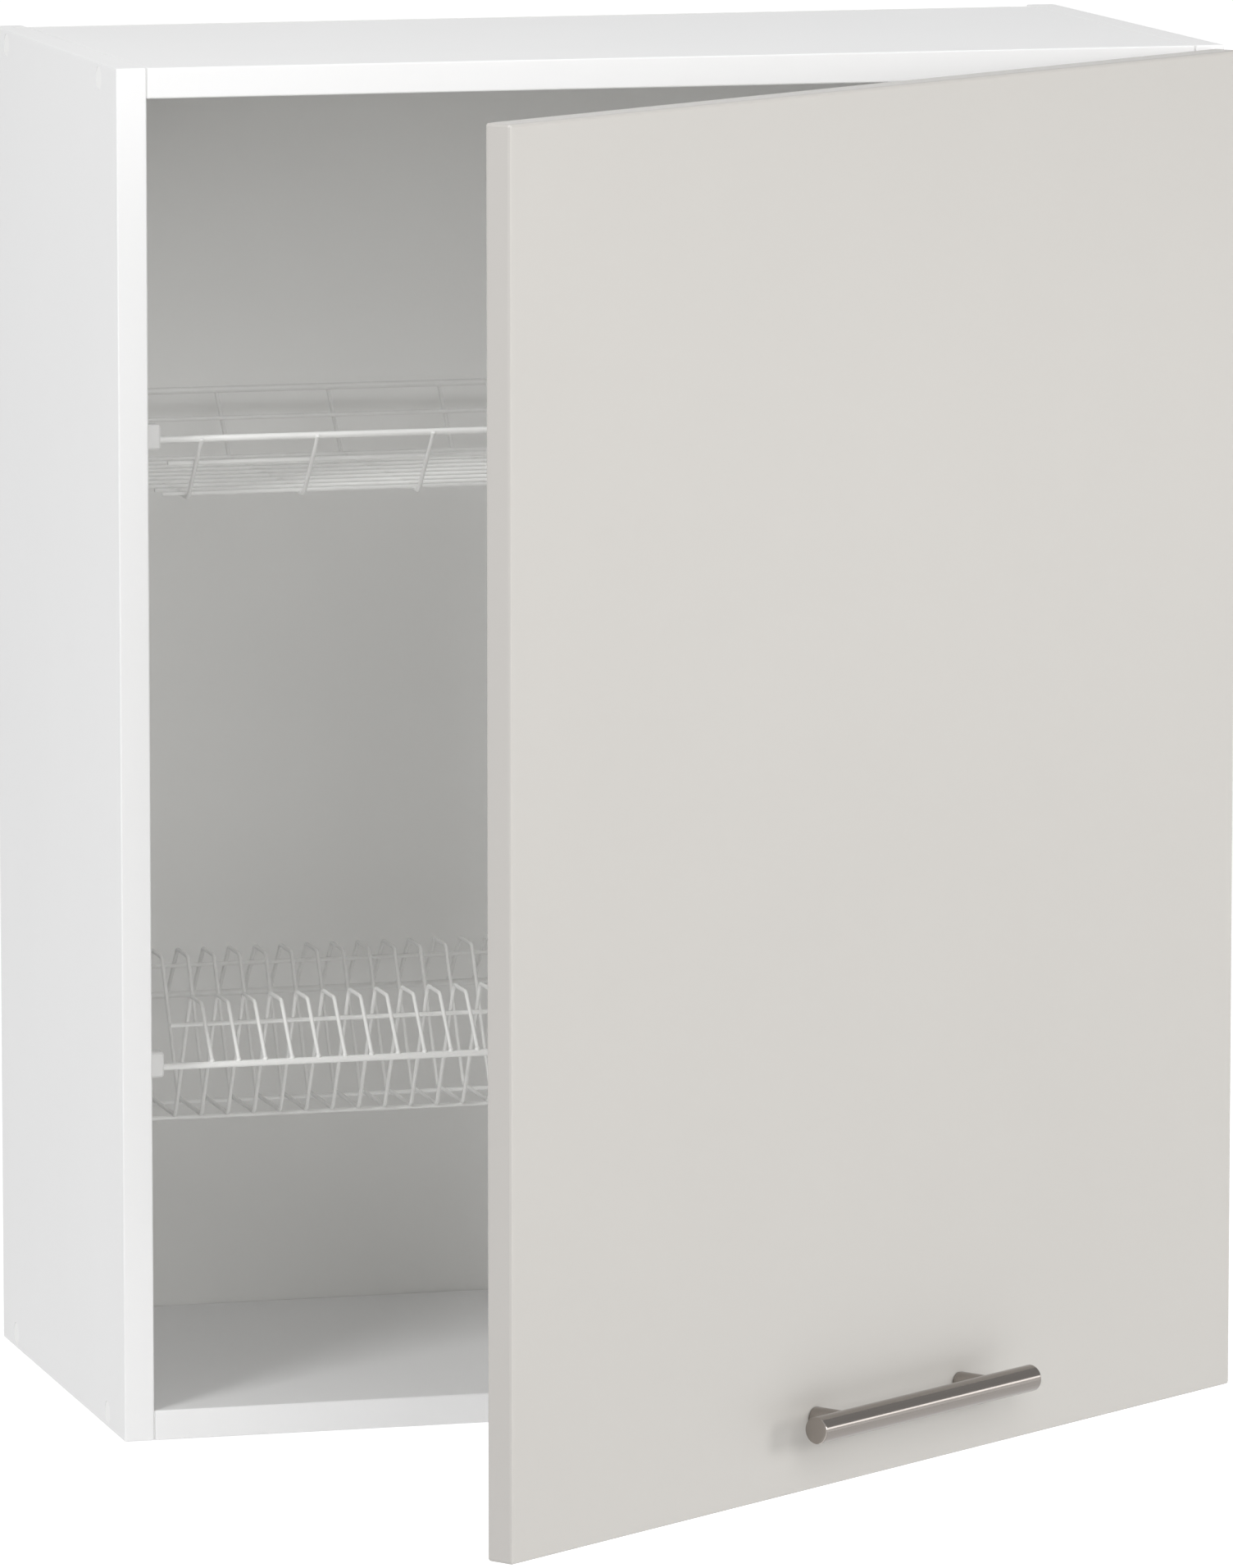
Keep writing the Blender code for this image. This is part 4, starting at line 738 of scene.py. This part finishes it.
cup_screws, plate_screws, handle_screws = {}, {}, {}
for place_name in ("upper", "lower"):
    for end_name in ("top", "bottom"):
        name = f"cup_screw_{place_name}_{end_name}"
        seat = (CUP_SCREW_X, CUP_FLANGE_TOP, node_middle(name)[2])
        cup_screws[name] = cross_screw(seat, (0, 1, 0), *HINGE_SCREW, on_door=True)
        name = f"plate_screw_{place_name}_{end_name}"
        seat = (PLATE_TOP_X, *node_middle(name)[1:])
        plate_screws[name] = cross_screw(seat, (-1, 0, 0), *HINGE_SCREW)
for side_name, x in post_x.items():
    seat = (x, BACK_FACE_Y + POST_CLEAR, handle_z)
    name = "handle_screw_" + side_name
    handle_screws[name] = cross_screw(seat, (0, 1, 0), *HANDLE_SCREW, on_door=True)
for piece_name, screws, body, metal, slot in (
    ("hinge_cup_screws", cup_screws, "door", nickel, "nickel_plate"),
    ("hinge_plate_screws", plate_screws, "cabinet", nickel, "nickel_plate"),
    ("handle_screws_pan_head", handle_screws, "door", zinc, "satin_steel"),
):
    make_piece(piece_name, list(screws.values()), body, metal, list(screws))

# %% [markdown]
# ## Floor and background
#
# The photograph stands on pure white. The floor is a pale sheet well below the cabinet, which hangs
# on a wall in real life. It is lit like anything else, so it keeps the cabinet's soft shadow, and a
# little glow that only direct looks and mirrors see lifts it to white. The world does the same: it
# lights the room at half strength and shows as white.

# %% The floor and the world
FLOOR_DROP, FLOOR_REACH, FLOOR_GLOW = 0.55, 30.0, 0.62
WORLD_LIGHT = 0.5


def stage_sheet(name, corners, material):
    """One flat sheet of four corners that belongs to the studio and not to the cabinet."""
    mesh = bpy.data.meshes.new(name)
    mesh.from_pydata(corners, [], [(0, 1, 2, 3)])
    mesh.materials.append(material)
    sheet = bpy.data.objects.new(name, mesh)
    bpy.context.scene.collection.objects.link(sheet)
    return sheet


def seen_directly(tree):
    """1 for rays from the camera, from a shiny surface or through a clear one, and 0 for others."""
    rays = add_node(tree, "ShaderNodeLightPath")
    either = add_node(
        tree, "ShaderNodeMath", {"operation": "MAXIMUM"},
        _0=rays.outputs["Is Camera Ray"], _1=rays.outputs["Is Glossy Ray"],
    )
    return add_node(
        tree, "ShaderNodeMath", {"operation": "MAXIMUM"},
        _0=either.outputs["Value"], _1=rays.outputs["Is Transmission Ray"],
    ).outputs["Value"]


paper, tree, shader = new_material("backdrop_paper_white")
place = add_node(tree, "ShaderNodeTexCoord").outputs["Object"]
fibre = add_node(tree, "ShaderNodeTexNoise", Vector=place, Scale=1 / (4 * MM))
tint = add_node(
    tree, "ShaderNodeMix", {"data_type": "RGBA"},
    _0=fibre.outputs["Fac"], _6=linear("#f4f4f4"), _7=linear("#f0f0f0"),
)
glow = add_node(
    tree, "ShaderNodeMath", {"operation": "MULTIPLY"}, _0=seen_directly(tree), _1=FLOOR_GLOW,
)
tree.links.new(tint.outputs[2], shader.inputs["Base Color"])
tree.links.new(glow.outputs["Value"], shader.inputs["Emission Strength"])
shader.inputs["Emission Color"].default_value = linear("#ffffff")
shader.inputs["Roughness"].default_value = 0.9
shader.inputs["Specular IOR Level"].default_value = 0.1
floor_low = cad_box[0][2] - FLOOR_DROP
floor_corners = [(-1, -1), (1, -1), (1, 1), (-1, 1)]
stage_sheet(
    "studio_floor", [(x * FLOOR_REACH, y * FLOOR_REACH, floor_low) for x, y in floor_corners], paper,
)

world = bpy.data.worlds.new("studio_surround")
bpy.context.scene.world = world
world.use_nodes = True
tree = world.node_tree
level = add_node(
    tree, "ShaderNodeMapRange", Value=seen_directly(tree), To_Min=WORLD_LIGHT, To_Max=1.0,
)
surround = tree.nodes["Background"]
surround.inputs["Color"].default_value = linear("#ffffff")
tree.links.new(level.outputs["Result"], surround.inputs["Strength"])
print("Floor at", round(floor_low, 3), "m")

# %% [markdown]
# ## Cards for the metal
#
# A polished bar is a curved mirror, so it looks like the room around it. Photographers set cards
# beside it for that reason: a grey one gives the steel its depth, and a pale one keeps its underside
# from going dark. Here the grey card stands on the right, where the upper half of the bar looks, and
# the pale one lies below the cabinet. Only reflections see them, and they light nothing.

# %% Two cards
GREY_LEVEL, PALE_LEVEL = 0.42, 0.93
GREY_CORNERS = [(2.4, -1.5, -0.24), (2.4, -1.5, 3.5), (2.4, 3.5, 3.5), (2.4, 3.5, -0.24)]
PALE_CORNERS = [(0.2, -2.5, -1.2), (3.2, -2.5, -1.2), (3.2, 2.5, -1.2), (0.2, 2.5, -1.2)]


def reflector_card(name, corners, level):
    """A sheet that shows in shiny surfaces at the given level, 1 being white, and nowhere else."""
    felt, _, shader = new_material(name + "_felt")
    shader.inputs["Base Color"].default_value = linear("#000000")
    shader.inputs["Specular IOR Level"].default_value = 0.0
    shader.inputs["Emission Color"].default_value = linear("#ffffff")
    shader.inputs["Emission Strength"].default_value = level
    card = stage_sheet(name, corners, felt)
    card.visible_camera = card.visible_diffuse = False
    card.visible_shadow = card.visible_transmission = False


reflector_card("grey_card", GREY_CORNERS, GREY_LEVEL)
reflector_card("pale_card", PALE_CORNERS, PALE_LEVEL)
print("Cards at levels", GREY_LEVEL, "and", PALE_LEVEL)

# %% [markdown]
# ## Lights
#
# The key light is a soft box up on the left. It lights the left side and the top, and is small
# enough for the side panel to cast a shadow with an edge on the cabinet's floor. The front box near
# the camera reaches into the cabinet, and a weak one above it evens out the racks. The door's face
# looks away from the key light, so it has a box of its own on the right. That box stands a little to
# the hinge side of where the face looks, so the handle's shadow falls to its left.
# A narrow strip stands where the bar mirrors it to the camera, and draws the thin bright line on it.

# %% Soft boxes
CABINET_MIDDLE = (0, -0.3, -0.3)
BESIDE_HINGE = (0.35, -0.2, -0.35)
HANDLE_MIDDLE = (0.08, -0.5, -0.65)
LAMPS = {
    "key_soft_box": ((-2.1, -1.9, 1.6), CABINET_MIDDLE, (0.8, 0.8), 36),
    "front_soft_box": ((0.2, -3.2, 0.9), CABINET_MIDDLE, (1.6, 1.6), 25.5),
    "upper_soft_box": ((0.0, -2.6, 1.8), CABINET_MIDDLE, (1.6, 1.6), 6),
    "door_soft_box": ((2.55, -2.05, 0.2), BESIDE_HINGE, (0.9, 0.9), 20),
    "handle_strip_light": ((2.3, -0.64, -0.35), HANDLE_MIDDLE, (1.0, 0.3), 1.9),
}


def soft_box(name, place, target, size, watts):
    """A rectangular lamp at place. It starts out facing down, and is tipped up and turned to target."""
    light = bpy.data.lights.new(name, "AREA")
    light.shape = "RECTANGLE"
    light.size, light.size_y = size
    light.energy = watts
    lamp = bpy.data.objects.new(name, light)
    bpy.context.scene.collection.objects.link(lamp)
    aim = np.array(target) - np.array(place)
    yaw = math.atan2(-aim[0], aim[1])
    pitch = math.atan2(aim[2], math.hypot(aim[0], aim[1]))
    lamp.location = place
    lamp.rotation_euler = (math.pi / 2 + pitch, 0, yaw)


for name, (place, target, size, watts) in LAMPS.items():
    soft_box(name, place, target, size, watts)
    print(f"{name}: {size[0]} by {size[1]} m, {watts} W")

# %% [markdown]
# ## The camera
#
# The photograph was taken with a very long lens from six metres away, to the left and above. A tilt
# of about eight degrees replaces the shift of the studio camera, and with so long a lens the uprights
# still stay within a third of a degree of vertical. Blender lays the sensor's width along the longer
# side of a picture, which is the height here.

# %% The camera
FOCAL_LENGTH, SENSOR_WIDTH = 258.93, 36.0
CAMERA_PLACE = (-1.5789, -5.9568, 0.4994)
TILT_DEGREES, TURN_DEGREES = 8.222, 15.284
camera_data = bpy.data.cameras.new("portrait_camera")
camera_data.lens = FOCAL_LENGTH
camera_data.sensor_width = SENSOR_WIDTH
camera_data.clip_end = 200.0
camera = bpy.data.objects.new("portrait_camera", camera_data)
bpy.context.scene.collection.objects.link(camera)
camera.location = CAMERA_PLACE
camera.rotation_euler = (math.radians(90 - TILT_DEGREES), 0, math.radians(-TURN_DEGREES))
bpy.context.scene.camera = camera
bpy.context.scene.view_settings.view_transform = "Standard"
